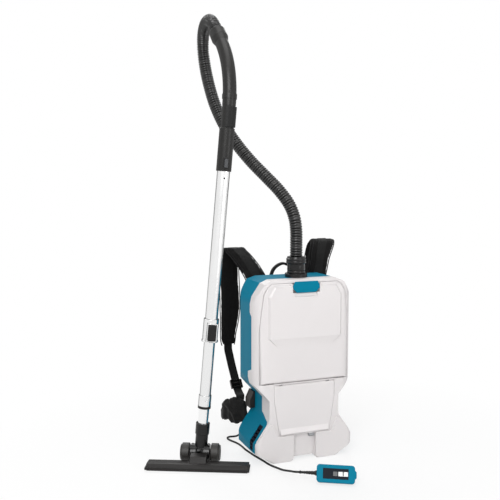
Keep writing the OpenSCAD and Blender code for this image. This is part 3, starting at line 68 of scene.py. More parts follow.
def turn(axis, degrees):
    """Rotation about one axis as a 3 x 3 array."""
    return np.array(Matrix.Rotation(math.radians(degrees), 3, axis))


AXLE = np.array([-269.0, 22.0, 25.0])
WAND_TURN = turn("Z", -21) @ turn("Y", 4.9)
BEND_START, BEND_R, BEND = 932.0, 235.0, 45.0


def at_wand(s=0.0, spin=0.0):
    """Frame (rotation, origin) at s along the wand, +Z up the tube."""
    return WAND_TURN @ turn("Z", spin), AXLE + WAND_TURN @ np.array([0, 0, s])


def at_bend(angle, s):
    """Frame on the handle's bend at that angle, then s straight on, +Z along it."""
    a = math.radians(angle)
    side, origin = at_wand(BEND_START, 30)
    y = BEND_R * (1 - math.cos(a)) + s * math.sin(a)
    z = BEND_R * math.sin(a) + s * math.cos(a)
    return side @ turn("X", -angle), origin + side @ np.array([0, y, z])


NOZZLE = (turn("Z", -25), np.array([AXLE[0], AXLE[1], 0]))
REMOTE = (turn("Z", -29.6) @ turn("X", -27), np.array([0, -250, 9 * math.sin(math.radians(27))]))


def placed(points, where):
    """Points of a frame in the object's own coordinates."""
    rotation, origin = where
    return np.asarray(points, float) @ rotation.T + origin


# ---- Routes, in millimetres, as in the part's source ----

HOSE = [[0, -5, 552], [0, -5, 590], [0, -4, 622], [-3, 0, 655], [-12, 12, 690], [-31, 35, 728],
        [-58, 69, 768], [-89, 107, 812], [-118, 142, 860], [-144, 175, 914], [-162, 204, 972],
        [-174, 226, 1034], [-181, 240, 1088], [-187, 240, 1136], [-193, 217, 1174], [-197, 180, 1196],
        [-199, 139, 1197], [-199, 108, 1182], at_bend(BEND, 58)[1], at_bend(BEND, 34.3)[1]]
LEAD = [[-92, 95.9, 52], [-92, 108, 50], [-94, 120, 43], [-98, 131, 33], [-103, 141, 22],
        [-109, 150, 13], [-116, 158, 6], [-124, 164, 3.5], [-133, 167, 3], [-141, 164, 3],
        [-145, 155, 3], [-144, 143, 3], [-140, 130, 3], [-135, 117, 3], [-131, 103, 3], [-129, 89, 3],
        [-128, 74, 3], [-128, 60, 3], [-127, 45, 3], [-125, 30, 3], [-123, 15, 3], [-121, 0, 3],
        [-118, -15, 3], [-115, -30, 3], [-112, -45, 3], [-110, -60, 3], [-107, -75, 3],
        [-103, -90, 3.5], [-100, -104, 5], [-98, -118, 7], [-97, -132, 9.5], [-95, -146, 12.5],
        [-92, -160, 16], [-88, -174, 19.5], placed([-104.1, 0, 22], REMOTE),
        placed([-92.1, 0, 22], REMOTE)]
LEFT_PAD = [[-78, 85.8, 446], [-80, 89.8, 478], [-88, 109.8, 505], [-98, 137.8, 530], [-108, 167.8, 550],
            [-115, 189.8, 560], [-119, 202.8, 552], [-121, 205.8, 530], [-122, 204.8, 495],
            [-121, 202.8, 450], [-120, 200.8, 400], [-122, 199.8, 350], [-127, 199.8, 300],
            [-127, 199.8, 272]]
LEFT_WIDTHS = [1, 1, 1, 1, 1, 1, 1, 1, 1, 1, 1, 0.9, 0.78, 0.7]
RIGHT_PAD = [[92, 85.8, 446], [104, 87.8, 478], [114, 91.8, 512], [123, 99.8, 542], [136, 113.8, 566],
             [148, 131.8, 579], [155, 153.8, 580], [156, 175.8, 568], [154, 189.8, 542],
             [150, 196.8, 500], [145, 198.8, 455], [139, 199.8, 400], [133, 199.8, 350],
             [127, 199.8, 300], [127, 199.8, 272]]
RIGHT_WIDTHS = [1, 1, 1, 1.04, 1.1, 1.14, 1.12, 1.06, 1, 1, 1, 1, 0.9, 0.78, 0.7]
WEBBING = [[-127, 199.8, 271.7], [-127, 199.8, 262], [-124, 194.8, 240], [-120, 181.8, 206],
           [-118, 162.8, 177], [-118, 143.8, 153], [-120, 127.8, 148], [-123, 113.8, 147],
           [-124, 104.8, 146.6]]
BELT = [[-113, 81.3, 108], [-123, 92.3, 105], [-136, 105.3, 102], [-147, 120.3, 98], [-153, 138.3, 92],
        [-155, 158.3, 81], [-152, 179.3, 70], [-144, 197.3, 62], [-133, 208.3, 62]]
BELT_WIDTHS = [0.6, 0.8, 0.82, 0.82, 0.62, 0.42, 0.36, 0.34, 0.34]
BELT_THICKNESSES = [0.5, 0.85, 1, 0.95, 0.8, 0.55, 0.4, 0.35, 0.35]
LOOP = [[38, 87.3, 444], [38, 87.3, 468], [36, 87.3, 490], [28, 87.3, 508], [14, 87.3, 519],
        [0, 87.3, 523], [-14, 87.3, 519], [-28, 87.3, 508], [-36, 87.3, 490], [-38, 87.3, 468],
        [-38, 87.3, 444]]

# The inlet's axis, and sections of the cords and the fabric
INLET_Y = HOSE[0][1]
HOSE_ROOT_R, HOSE_RIB, RIB_PITCH = 14.4, 3.1, 7.0
HOSE_SIDE = (0.9, 0.43, 0)
LEAD_R = 2.75
PAD_W, PAD_T = 62, 9.5
BELT_W, BELT_T = 90, 13
STRAP_W = 25


# ---- Surfaces ----

def unit(v):
    """Rows of v scaled to length one."""
    v = np.asarray(v, float)
    return v / np.maximum(np.linalg.norm(v, axis=-1, keepdims=True), 1e-9)


def smooth_path(points, step):
    """Points every `step` along the cubic through the given ones: each stretch is the
    Hermite blend of its two ends and of the slopes taken over their neighbours."""
    p = np.asarray(points, float)
    t = np.concatenate([[0], np.cumsum(np.linalg.norm(np.diff(p, axis=0), axis=1))])
    slope = np.gradient(p, t, axis=0)
    q = np.linspace(0, t[-1], max(int(t[-1] / step) * 4, 16))
    k = np.clip(np.searchsorted(t, q, side="right") - 1, 0, len(t) - 2)
    h = (t[k + 1] - t[k])[:, None]
    u = ((q - t[k])[:, None]) / h
    fine = ((1 + 2 * u) * (1 - u) ** 2 * p[k] + u * (1 - u) ** 2 * h * slope[k]
            + u ** 2 * (3 - 2 * u) * p[k + 1] + u ** 2 * (u - 1) * h * slope[k + 1])
    s = np.concatenate([[0], np.cumsum(np.linalg.norm(np.diff(fine, axis=0), axis=1))])
    even = np.linspace(0, s[-1], max(int(round(s[-1] / step)), 2) + 1)
    return np.stack([np.interp(even, s, fine[:, c]) for c in range(3)], 1)


def path_length(path):
    """Length of a path, from point to point."""
    return float(np.linalg.norm(np.diff(path, axis=0), axis=1).sum())


def path_axes(path, across):
    """Unit axes along a path: A near `across`, B square to it and to the path."""
    tangent = unit(np.gradient(np.asarray(path, float), axis=0))
    b = unit(np.cross(tangent, np.asarray(across, float)))
    return np.cross(b, tangent), b


def carried(path, section, across, scale=None):
    """A section [k, 2] carried along a path [n, 3]: its first axis follows A, its second B,
    and scale [n] or [n, 2] makes it larger or smaller on the way."""
    a, b = path_axes(path, across)
    section = np.asarray(section, float)
    scale = np.ones((len(path), 2)) if scale is None else np.broadcast_to(
        np.asarray(scale, float).reshape(len(path), -1), (len(path), 2))
    return (np.asarray(path)[:, None] + (scale[:, :1] * section[None, :, 0])[..., None] * a[:, None]
            + (scale[:, 1:] * section[None, :, 1])[..., None] * b[:, None])


def disc(radius, n):
    """n points of a circle."""
    a = np.arange(n) * 2 * np.pi / n
    return radius * np.stack([np.cos(a), np.sin(a)], 1)


def soft_box(w, h, power, n):
    """n points of a superellipse w by h: cosine and sine raised to 2 / power."""
    a = np.arange(n) * 2 * np.pi / n
    c, s = np.cos(a), np.sin(a)
    return np.stack([w / 2 * np.sign(c) * np.abs(c) ** (2 / power),
                     h / 2 * np.sign(s) * np.abs(s) ** (2 / power)], 1)


def eased(profile, r, closed=True, steps=3):
    """A profile with each corner replaced by a small curve that starts r before it."""
    p = np.asarray(profile, float)
    before, after = np.roll(p, 1, 0), np.roll(p, -1, 0)
    reach_a = np.minimum(r, np.linalg.norm(before - p, axis=1) * 0.48)[:, None]
    reach_b = np.minimum(r, np.linalg.norm(after - p, axis=1) * 0.48)[:, None]
    start, end = p + unit(before - p) * reach_a, p + unit(after - p) * reach_b
    u = np.linspace(0, 1, steps + 1)[None, :, None]
    arcs = (1 - u) ** 2 * start[:, None] + 2 * u * (1 - u) * p[:, None] + u ** 2 * end[:, None]
    if not closed:
        arcs[0], arcs[-1] = p[0], p[-1]
    return arcs.reshape(-1, 2)


def turned(profile, n):
    """A profile of [radius, height] turned about +Z as a grid [heights, n, 3]."""
    a = np.arange(n) * 2 * np.pi / n
    p = np.asarray(profile, float)
    return np.stack([p[:, :1] * np.cos(a), p[:, :1] * np.sin(a), np.repeat(p[:, 1:], n, 1)], 2)


def grid(points, around=True, along=False, ends=False):
    """Faces and face UVs, in metres along the surface, of a grid [rows, columns, 3]."""
    points = np.asarray(points, float)
    n, m = points.shape[:2]
    i, j = np.meshgrid(np.arange(n if along else n - 1), np.arange(m if around else m - 1), indexing="ij")
    i, j = i.ravel(), j.ravel()
    i2, j2 = (i + 1) % n, (j + 1) % m
    faces = np.stack([i * m + j, i * m + j2, i2 * m + j2, i2 * m + j], 1).tolist()
    across = np.linalg.norm(np.diff(points, axis=1, append=points[:, :1]), axis=2).mean(0)
    down = np.linalg.norm(np.diff(points, axis=0, append=points[:1]), axis=2).mean(1)
    u = np.concatenate([[0], np.cumsum(across)]) * MM
    v = np.concatenate([[0], np.cumsum(down)]) * MM
    uv = np.stack([u[j], v[i], u[j + 1], v[i], u[j + 1], v[i + 1], u[j], v[i + 1]], 1).reshape(-1, 2)
    if ends:
        faces += [list(range(m))[::-1], list(range((n - 1) * m, n * m))]
        uv = np.concatenate([uv, np.stack([u[:m], np.zeros(m)], 1)[::-1],
                             np.stack([u[:m], np.full(m, v[n - 1])], 1)])
    return points.reshape(-1, 3), faces, uv


def make_mesh(name, grids):
    """One object of several grids given as (points, faces, uv) in millimetres."""
    points = np.concatenate([g[0] for g in grids]) * MM
    faces, uvs, at = [], [], 0
    for p, f, uv in grids:
        faces += [[k + at for k in face] for face in f]
        uvs.append(uv)
        at += len(p)
    mesh = bpy.data.meshes.new(name)
    mesh.from_pydata(points.tolist(), [], faces)
    layer = mesh.uv_layers.new(name="flow")
    layer.data.foreach_set("uv", np.concatenate(uvs).astype(np.float32).ravel())
    obj = bpy.data.objects.new(name, mesh)
    scene.collection.objects.link(obj)
    return obj


def tidy_mesh(obj, sharp):
    """Merges doubles, turns the faces outwards, and smooths all but the edges of more than
    `sharp` degrees."""
    b = bmesh.new()
    b.from_mesh(obj.data)
    bmesh.ops.remove_doubles(b, verts=b.verts, dist=1e-6)
    bmesh.ops.recalc_face_normals(b, faces=b.faces)
    b.to_mesh(obj.data)
    b.free()
    obj.data.shade_smooth()
    obj.data.set_sharp_from_angle(angle=math.radians(sharp))
    return obj


def finish_piece(obj, body, material, node=None):
    """Gives a piece its material, its body and the node that it stands for."""
    obj.data.materials.clear()
    obj.data.materials.append(material)
    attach(obj, body)
    if node:
        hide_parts(node)
    return obj


def piece(name, grids, body, material, node=None, sharp=35):
    """A finished piece from one grid or a list of them."""
    grids = [grids] if isinstance(grids, tuple) else grids
    return finish_piece(tidy_mesh(make_mesh(name, grids), sharp), body, material, node)


def in_frame(where, shape):
    """A grid moved into a frame."""
    points, faces, uv = shape
    return placed(points, where), faces, uv


# ---- Materials ----

def shader(name, color, rough, metal=0.0, **sockets):
    """A material with its shader's own sockets set, and its node tree."""
    material = bpy.data.materials.new(name)
    material.use_nodes = True
    tree = material.node_tree
    bsdf = tree.nodes["Principled BSDF"]
    bsdf.inputs["Base Color"].default_value = (*color, 1)
    bsdf.inputs["Roughness"].default_value = rough
    bsdf.inputs["Metallic"].default_value = metal
    for key, value in sockets.items():
        bsdf.inputs[key.replace("_", " ")].default_value = value
    return material, tree, bsdf


def add(tree, kind, **values):
    """A node with its inputs set by name."""
    node = tree.nodes.new(kind)
    for key, value in values.items():
        if hasattr(node, key):
            setattr(node, key, value)
        else:
            node.inputs[key.replace("_", " ")].default_value = value
    return node


def spread(tree, factor, low, high, a=0.0, b=1.0):
    """A value from low to high as the factor goes from a to b."""
    node = add(tree, "ShaderNodeMapRange", From_Min=a, From_Max=b, To_Min=low, To_Max=high)
    tree.links.new(factor, node.inputs["Value"])
    return node.outputs["Result"]


def math_node(tree, operation, first, second):
    """The result of an operation on two outputs."""
    node = add(tree, "ShaderNodeMath", operation=operation)
    tree.links.new(first, node.inputs[0])
    tree.links.new(second, node.inputs[1])
    return node.outputs[0]


def tint(tree, factor, dark, light):
    """A colour between dark and light."""
    node = add(tree, "ShaderNodeMix", data_type="RGBA")
    node.inputs[6].default_value = (*dark, 1)
    node.inputs[7].default_value = (*light, 1)
    tree.links.new(factor, node.inputs[0])
    return node.outputs[2]


def shade(color, k):
    """A colour k times as light, up to white."""
    return tuple(min(c * k, 1.0) for c in color)


# Warm tint mixed in near the floor, and the height where it ends: dust on the tread rubber, painted shade
# on the white shell's lower part
DUST_AND_SHADE_TINT = (0.36, 0.33, 0.29)
DUST_AND_SHADE_TOP = 0.16


def moulded(name, color, rough, grain, depth, mottle, vary, dust_and_shade=0.0, metal=0.0, stretch=None, **sockets):
    """Moulded or drawn stock: fine grain as bump, slow clouds in colour and gloss, and a warm tint
    that thickens towards the floor: dust where it lightens the dark tread rubber, and painted shade
    where it darkens the white shell's lower part. stretch = (frame, factors) lays the grain along a
    part's own axis."""
    material, tree, bsdf = shader(name, color, rough, metal, **sockets)
    link = tree.links.new
    place = add(tree, "ShaderNodeTexCoord").outputs["Object"]
    along = place
    if stretch:
        where, factors = stretch
        mapping = add(tree, "ShaderNodeMapping", vector_type="POINT")
        mapping.inputs["Rotation"].default_value = Matrix(where[0].T.tolist()).to_euler()
        mapping.inputs["Location"].default_value = Vector((-(where[0].T @ where[1]) * MM).tolist())
        link(place, mapping.inputs["Vector"])
        scaled = add(tree, "ShaderNodeVectorMath", operation="MULTIPLY")
        scaled.inputs[1].default_value = factors
        link(mapping.outputs[0], scaled.inputs[0])
        along = scaled.outputs[0]
    fine = add(tree, "ShaderNodeTexNoise", Scale=grain, Detail=3.0, Roughness=0.6)
    slow = add(tree, "ShaderNodeTexNoise", Scale=mottle, Detail=4.0, Roughness=0.55)
    link(along, fine.inputs["Vector"])
    link(place, slow.inputs["Vector"])
    bump = add(tree, "ShaderNodeBump", Strength=0.6, Distance=depth)
    link(fine.outputs["Fac"], bump.inputs["Height"])
    link(bump.outputs[0], bsdf.inputs["Normal"])
    gloss = spread(tree, slow.outputs["Fac"], rough - vary, rough + vary, 0.3, 0.7)
    link(gloss, bsdf.inputs["Roughness"])
    base = tint(tree, spread(tree, slow.outputs["Fac"], 0, 1, 0.3, 0.7),
                shade(color, 1 - vary * 0.7), shade(color, 1 + vary * 0.5))
    # Towards the floor the colour goes to the tint: painted shade darkening the white shell, dust
    # lightening the tread rubber
    if dust_and_shade:
        axes = add(tree, "ShaderNodeSeparateXYZ")
        link(place, axes.inputs[0])
        low = spread(tree, axes.outputs["Z"], dust_and_shade, 0, 0.0, DUST_AND_SHADE_TOP)
        mix = add(tree, "ShaderNodeMix", data_type="RGBA")
        link(math_node(tree, "MULTIPLY", low, slow.outputs["Fac"]), mix.inputs[0])
        link(base, mix.inputs[6])
        mix.inputs[7].default_value = (*DUST_AND_SHADE_TINT, 1)
        base = mix.outputs[2]
    link(base, bsdf.inputs["Base Color"])
    return material


# The wave texture repeats each pi / 10 of its own units
WAVE_PERIOD = 0.314


def woven(name, color, pitch, depth, rough=0.85, twill=0.0, mesh=False, **sockets):
    """Woven fabric on the piece's own UV: warp and weft as two bands that cross, with
    yarn noise and fluff. twill leans one band, and mesh opens holes between them. The colour is
    painted darker in the grooves between the bands and lighter on them, as shade and light, and varies in
    slow clouds."""
    material, tree, bsdf = shader(name, color, rough, Sheen_Weight=0.03, Sheen_Roughness=0.5, **sockets)
    link = tree.links.new
    flow = add(tree, "ShaderNodeUVMap", uv_map="flow").outputs[0]
    place = add(tree, "ShaderNodeTexCoord").outputs["Object"]
    bands = []
    for direction, lean in (("X", twill), ("Y", 0.0)):
        mapping = add(tree, "ShaderNodeMapping")
        mapping.inputs["Rotation"].default_value = (0, 0, lean)
        link(flow, mapping.inputs["Vector"])
        wave = add(tree, "ShaderNodeTexWave", bands_direction=direction, Scale=WAVE_PERIOD / pitch,
                   Distortion=0.0)
        link(mapping.outputs[0], wave.inputs["Vector"])
        bands.append(wave.outputs["Fac"])
    cross = math_node(tree, "MULTIPLY" if mesh else "MAXIMUM", *bands)
    yarn = add(tree, "ShaderNodeTexNoise", Scale=2200, Detail=2.0)
    slow = add(tree, "ShaderNodeTexNoise", Scale=38, Detail=4.0, Roughness=0.6)
    link(place, yarn.inputs["Vector"])
    link(place, slow.inputs["Vector"])
    bump = add(tree, "ShaderNodeBump", Strength=0.9, Distance=depth)
    link(math_node(tree, "ADD", cross, spread(tree, yarn.outputs["Fac"], 0, 0.5)), bump.inputs["Height"])
    link(bump.outputs[0], bsdf.inputs["Normal"])
    # Painted shade and light: darker where the weave's bump is low, lighter where it is high, times a
    # slow random tone
    blend = math_node(tree, "MULTIPLY", spread(tree, cross, 0.35, 1.0),
                      spread(tree, slow.outputs["Fac"], 0.6, 1.25, 0.3, 0.7))
    link(tint(tree, blend, shade(color, 0.35), shade(color, 1.5)), bsdf.inputs["Base Color"])
    return material


WHITE, TEAL = (0.675, 0.648, 0.648), (0.002, 0.18, 0.285)

# Grain of a drawn tube across it and along it, and the tint of its grazing reflections
DRAWN, DARK_RIM = (900, 900, 5), (0.03, 0.03, 0.03, 1)

# Moulded and drawn stock: colour, roughness, grain per metre, depth of the grain in metres,
# clouds per metre, and how much the clouds vary colour and gloss
# The white shell is painted darker towards the floor, as shade
shell_white = moulded("shell_white", WHITE, 0.36, 1500, 0.00008, 7, 0.03,
                      dust_and_shade=0.08, Specular_IOR_Level=0.4)
door_white = moulded("door_white", shade(WHITE, 1.02), 0.33, 1500, 0.00007, 6, 0.03,
                     Specular_IOR_Level=0.45)
shell_teal = moulded("shell_teal", TEAL, 0.36, 1500, 0.00008, 7, 0.05, Specular_IOR_Level=0.03)
black_plastic = moulded("black_plastic", (0.013, 0.0115, 0.011), 0.42, 1100, 0.00014, 12, 0.06,
                        Specular_IOR_Level=0.25)
black_satin = moulded("black_satin", (0.004, 0.0038, 0.0038), 0.2, 900, 0.00005, 10, 0.05,
                      Specular_IOR_Level=0.35)
handle_black = moulded("handle_black", (0.012, 0.0115, 0.011), 0.36, 900, 0.00008, 10, 0.05,
                       Specular_IOR_Level=0.3)
hose_black = moulded("hose_black", (0.007, 0.0068, 0.0065), 0.2, 700, 0.00006, 14, 0.05,
                     Specular_IOR_Level=0.55)
grey_plastic = moulded("grey_plastic", (0.32, 0.33, 0.34), 0.45, 1200, 0.0001, 12, 0.05)
# Near-black navy of the exhaust grilles: their own dark colour, made darker still as painted shade of the
# recess beside the feet
grille_navy_and_shade = moulded("grille_navy_and_shade", (0.001, 0.003, 0.009), 0.6, 1200, 0.0001, 12, 0.05,
                       Specular_IOR_Level=0.1)
inner_plastic = moulded("inner_plastic", (0.07, 0.072, 0.078), 0.55, 900, 0.00015, 12, 0.06)
battery_black = moulded("battery_black", (0.022, 0.022, 0.024), 0.5, 1000, 0.00016, 10, 0.06)
button_red = moulded("button_red", (0.45, 0.035, 0.028), 0.4, 1200, 0.00008, 12, 0.05)
key_white = moulded("key_white", (0.75, 0.75, 0.74), 0.3, 1500, 0.00005, 20, 0.03)
panel_navy = moulded("panel_navy", (0.006, 0.008, 0.014), 0.5, 1600, 0.00004, 20, 0.04,
                     Specular_IOR_Level=0.1)
blank_grey = moulded("blank_grey", (0.05, 0.052, 0.056), 0.4, 1600, 0.00004, 20, 0.04)
bracket_brown = moulded("bracket_brown", (0.012, 0.008, 0.006), 0.5, 1000, 0.00014, 12, 0.05)
rubber_black = moulded("rubber_black", (0.007, 0.007, 0.007), 0.5, 800, 0.00014, 14, 0.06,
                       Specular_IOR_Level=0.25)
tread_rubber = moulded("tread_rubber", (0.009, 0.0085, 0.0085), 0.5, 600, 0.00016, 14, 0.08,
                       dust_and_shade=0.12, Specular_IOR_Level=0.4)
tube_silver = moulded("tube_silver", (0.84, 0.84, 0.84), 0.22, 1.0, 0.00003, 8, 0.04, metal=1.0,
                      stretch=(at_wand(), DRAWN), Specular_Tint=DARK_RIM)
tube_bright = moulded("tube_bright", (0.84, 0.84, 0.84), 0.18, 1.0, 0.00003, 8, 0.03, metal=1.0,
                      stretch=(at_wand(), DRAWN), Specular_Tint=DARK_RIM)
pipe_chrome = moulded("pipe_chrome", (0.9, 0.9, 0.9), 0.1, 700, 0.00001, 8, 0.03, metal=1.0)
steel = moulded("steel", (0.56, 0.56, 0.57), 0.32, 900, 0.00003, 12, 0.06, metal=1.0)
cast_alloy = moulded("cast_alloy", (0.5, 0.52, 0.55), 0.45, 500, 0.0002, 12, 0.08, metal=1.0)
winding_copper = moulded("winding_copper", (0.62, 0.25, 0.1), 0.38, 1.0, 0.0004, 12, 0.06, metal=0.9,
                         stretch=((np.eye(3), np.zeros(3)), (60, 60, 1400)))
board_green = moulded("board_green", (0.01, 0.1, 0.03), 0.35, 500, 0.0001, 60, 0.08)
bag_fleece = moulded("bag_fleece", (0.66, 0.62, 0.53), 0.95, 260, 0.0006, 20, 0.04)
collar_card = moulded("collar_card", (0.42, 0.3, 0.17), 0.85, 500, 0.0003, 30, 0.06)
filter_paper = moulded("filter_paper", (0.76, 0.79, 0.82), 0.9, 600, 0.0003, 20, 0.04)
bristle = moulded("bristle", (0.03, 0.03, 0.03), 0.7, 1.0, 0.0008, 14, 0.06,
                  stretch=(NOZZLE, (1500, 1500, 30)))
thread = moulded("thread", (0.03, 0.03, 0.033), 0.8, 2500, 0.0002, 40, 0.06)

# Woven stock: colour, pitch of the yarns and depth of the weave in metres, roughness
pad_cloth = woven("pad_cloth", (0.0045, 0.0042, 0.0042), 0.0012, 0.00022, Specular_IOR_Level=0.12)
belt_cloth = woven("belt_cloth", (0.004, 0.0038, 0.0038), 0.0012, 0.00022, 0.6, Specular_IOR_Level=0.16)
pad_mesh = woven("pad_mesh", (0.008, 0.008, 0.0085), 0.0032, 0.0009, mesh=True, Specular_IOR_Level=0.15)
webbing_weave = woven("webbing_weave", (0.005, 0.005, 0.005), 0.0016, 0.0003, 0.75,
                      twill=0.5, Specular_IOR_Level=0.15)


# ---- Camera ----

camera = bpy.data.objects.new("camera", bpy.data.cameras.new("camera"))
camera.data.lens = 53.28
camera.data.clip_end = 60
camera.location = (-0.842, -1.845, 0.7605)
camera.rotation_euler = (math.radians(84.6), 0, math.radians(-21))
scene.collection.objects.link(camera)
scene.camera = camera


# ---- Cords ----

def hose_piece():
    """Corrugated hose: a circle carried along the route, whose radius goes from the root
    of the groove to the crest as a flattened sine of the way along, a rib each 7 mm."""
    path = smooth_path(HOSE, 0.95)
    s = np.linspace(0, path_length(path), len(path))
    rib = np.abs(np.sin(np.pi * s / RIB_PITCH)) ** 0.7
    plain = np.clip(np.minimum(s, s[-1] - s) / 4.0, 0, 1)
    radius = HOSE_ROOT_R + HOSE_RIB * (rib * plain + (1 - plain) * 0.2)
    points = carried(path, disc(1, 30), HOSE_SIDE, radius)
    obj = piece("hose_corrugated", grid(points, ends=True), "hose_set", hose_black, "hose", 60)


def gland_profile(length, r_big, r_thin, ribs):
    """Strain relief: a taper whose grooves deepen it at even steps, with a collar at its
    thick end and a ring at its thin end."""
    rows = [[0, 0], [r_big + 1.6, 0], [r_big + 1.6, 3], [r_big, 3.4]]
    for k in range(ribs):
        z0 = 6 + k * (length - 12) / ribs
        r = r_big + (r_thin - r_big) * (z0 - 4) / (length - 8)
        rows += [[r, z0], [r - 0.1, z0 + 1.8], [r - 1.1, z0 + 2.1], [r - 1.2, z0 + 3.0],
                 [r - 0.15, z0 + 3.3]]
    rows += [[r_thin - 0.1, length - 4.2], [r_thin + 0.9, length - 4], [r_thin + 0.9, length - 1.2],
             [r_thin, length - 0.8], [r_thin, length], [0, length]]
    return eased(rows, 0.25, closed=False, steps=1)


def lead_pieces():
    """Round lead along its route, and its two strain reliefs."""
    path = smooth_path(LEAD, 2.5)
    tube = carried(path, disc(LEAD_R, 14), (0.1, 0, 1))
    lead = piece("remote_lead_round", grid(tube, ends=True), "pack", rubber_black, "remote_lead")
    at_housing = (turn("X", -90), np.array([-92, 73.3, 52]))
    at_remote = (REMOTE[0] @ turn("Y", -90), placed([-48.2, 0, 22], REMOTE))
    gland = piece("lead_strain_reliefs", [
        in_frame(at_housing, grid(turned(gland_profile(22.6, 4.6, 3.2, 2), 32))),
        in_frame(at_remote, grid(turned(gland_profile(43.9, 5.0, 3.2, 5), 32)))],
        "pack", rubber_black, "lead_gland")


def inlet_cuff():
    """Swivelling cuff of the hose: a closed profile of radius and height turned about the
    inlet's axis, with a waist, a collar round its upper end and two grip grooves."""
    bore, spigot, cuff, collar = 13.5, 23, 25, 27.5
    low, inlet, top = 484, 506, HOSE[0][2]
    profile = [[bore, low], [spigot, low], [spigot, inlet - 1], [cuff, inlet + 0.3], [cuff, inlet + 6],
               [cuff - 0.8, inlet + 6.6], [cuff - 0.8, inlet + 8.4], [cuff, inlet + 9],
               [cuff - 0.4, inlet + 22], [cuff - 0.2, top - 19], [collar, top - 17.6],
               [collar, top - 12.4], [collar - 0.8, top - 11.6], [collar - 0.8, top - 10.4],
               [collar, top - 9.6], [collar, top - 5.6], [cuff, top - 4.4], [cuff - 0.4, top],
               [bore, top]]
    shape = turned(eased(profile + profile[:1], 0.7, steps=2), 96) + [0, INLET_Y, 0]
    piece("inlet_cuff_turned", grid(shape), "hose_set", black_satin, "inlet_cuff", 50)


hose_piece()
inlet_cuff()
lead_pieces()


# ---- Moulded parts from their solids ----

def crowded(face, hard, room):
    """The corners of a face that have a hard edge of its far side nearer than `room`: one
    that runs against their own edges."""
    loops = list(face.loops)
    co = np.array([loop.vert.co for loop in loops])
    run = np.roll(co, -1, 0) - co
    ahead = unit(run)
    back = np.roll(ahead, 1, 0)
    gap = co[:, None] - co[None]
    t = np.clip((gap * run[None]).sum(2) / np.maximum((run ** 2).sum(1), 1e-12), 0, 1)
    distance = np.linalg.norm(gap - t[..., None] * run[None], axis=2)
    against = (ahead @ ahead.T < -0.5) | (back @ ahead.T < -0.5)
    apart = (distance > 1e-6) & np.array([loop.edge in hard for loop in loops])[None]
    near = (against & apart & (distance < room)).any(1)
    return [loop.vert for loop, close in zip(loops, near) if close]


def folded_corners(obj):
    """Corners of the faces whose triangles cover more than the face: its bevels overran."""
    mesh = obj.evaluated_get(bpy.context.evaluated_depsgraph_get()).data
    mesh.calc_loop_triangles()
    covered = np.zeros(len(mesh.polygons))
    for triangle in mesh.loop_triangles:
        covered[triangle.polygon_index] += triangle.area
    corners = [mesh.vertices[i].co for face, area in zip(mesh.polygons, covered)
               if len(face.vertices) > 4 and area > 1.01 * face.area + 2e-6 for i in face.vertices]
    return np.array(corners).reshape(-1, 3)


def softened(node, material, width):
    """The node's own shape with its edges broken: doubles are merged, flat faces joined,
    and each edge of more than 22 degrees, with room on both sides, gets a small bevel."""
    source = frame["nodes"][node]
    mesh = source.data.copy()
    mesh.name = node + "_moulded"
    obj = bpy.data.objects.new(mesh.name, mesh)
    scene.collection.objects.link(obj)
    b = bmesh.new()
    b.from_mesh(mesh)
    bmesh.ops.remove_doubles(b, verts=b.verts, dist=2e-6)
    bmesh.ops.dissolve_limit(b, angle_limit=math.radians(0.4), verts=b.verts, edges=b.edges)
    weight = b.edges.layers.float.new("bevel_weight_edge")
    w = width * MM
    hard = {e for e in b.edges if len(e.link_faces) == 2 and e.calc_face_angle(0) > math.radians(22)}
    tight = set()
    for v in b.verts:
        here = [e for e in v.link_edges if e in hard]
        if not here:
            continue
        ways = [e.other_vert(v).co - v.co for e in here[:2]]
        corner = len(here) != 2 or ways[0].angle(-ways[1], 0) > math.radians(35)
        soft = [e.calc_length() for e in v.link_edges if e not in hard]
        if (soft and min(soft) < 1.25 * w) or (corner and min(e.calc_length() for e in here) < 2.1 * w):
            tight.add(v)
    for face in b.faces:
        if len(face.verts) > 4:
            tight.update(crowded(face, hard, 2.2 * w))
    for e in hard:
        if e.verts[0] not in tight and e.verts[1] not in tight:
            e[weight] = 1.0
    b.to_mesh(mesh)
    b.free()
    mesh.shade_smooth()
    bevel = obj.modifiers.new("edges", "BEVEL")
    bevel.limit_method = "WEIGHT"
    bevel.width = w
    bevel.segments = 2
    bevel.use_clamp_overlap = False
    bevel.harden_normals = False
    for _ in range(3):
        corners = folded_corners(obj)
        if not len(corners):
            break
        weights = mesh.attributes["bevel_weight_edge"].data
        at = np.array([v.co for v in mesh.vertices])
        near = {i for i, p in enumerate(at) if np.linalg.norm(corners - p, axis=1).min() < 2.5 * w}
        for edge in mesh.edges:
            if near.intersection(edge.vertices):
                weights[edge.index].value = 0.0
        mesh.update()
    mesh.set_sharp_from_angle(angle=math.radians(40))
    weighted = obj.modifiers.new("shading", "WEIGHTED_NORMAL")
    weighted.keep_sharp = True
    finish_piece(obj, source["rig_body"], material, node)


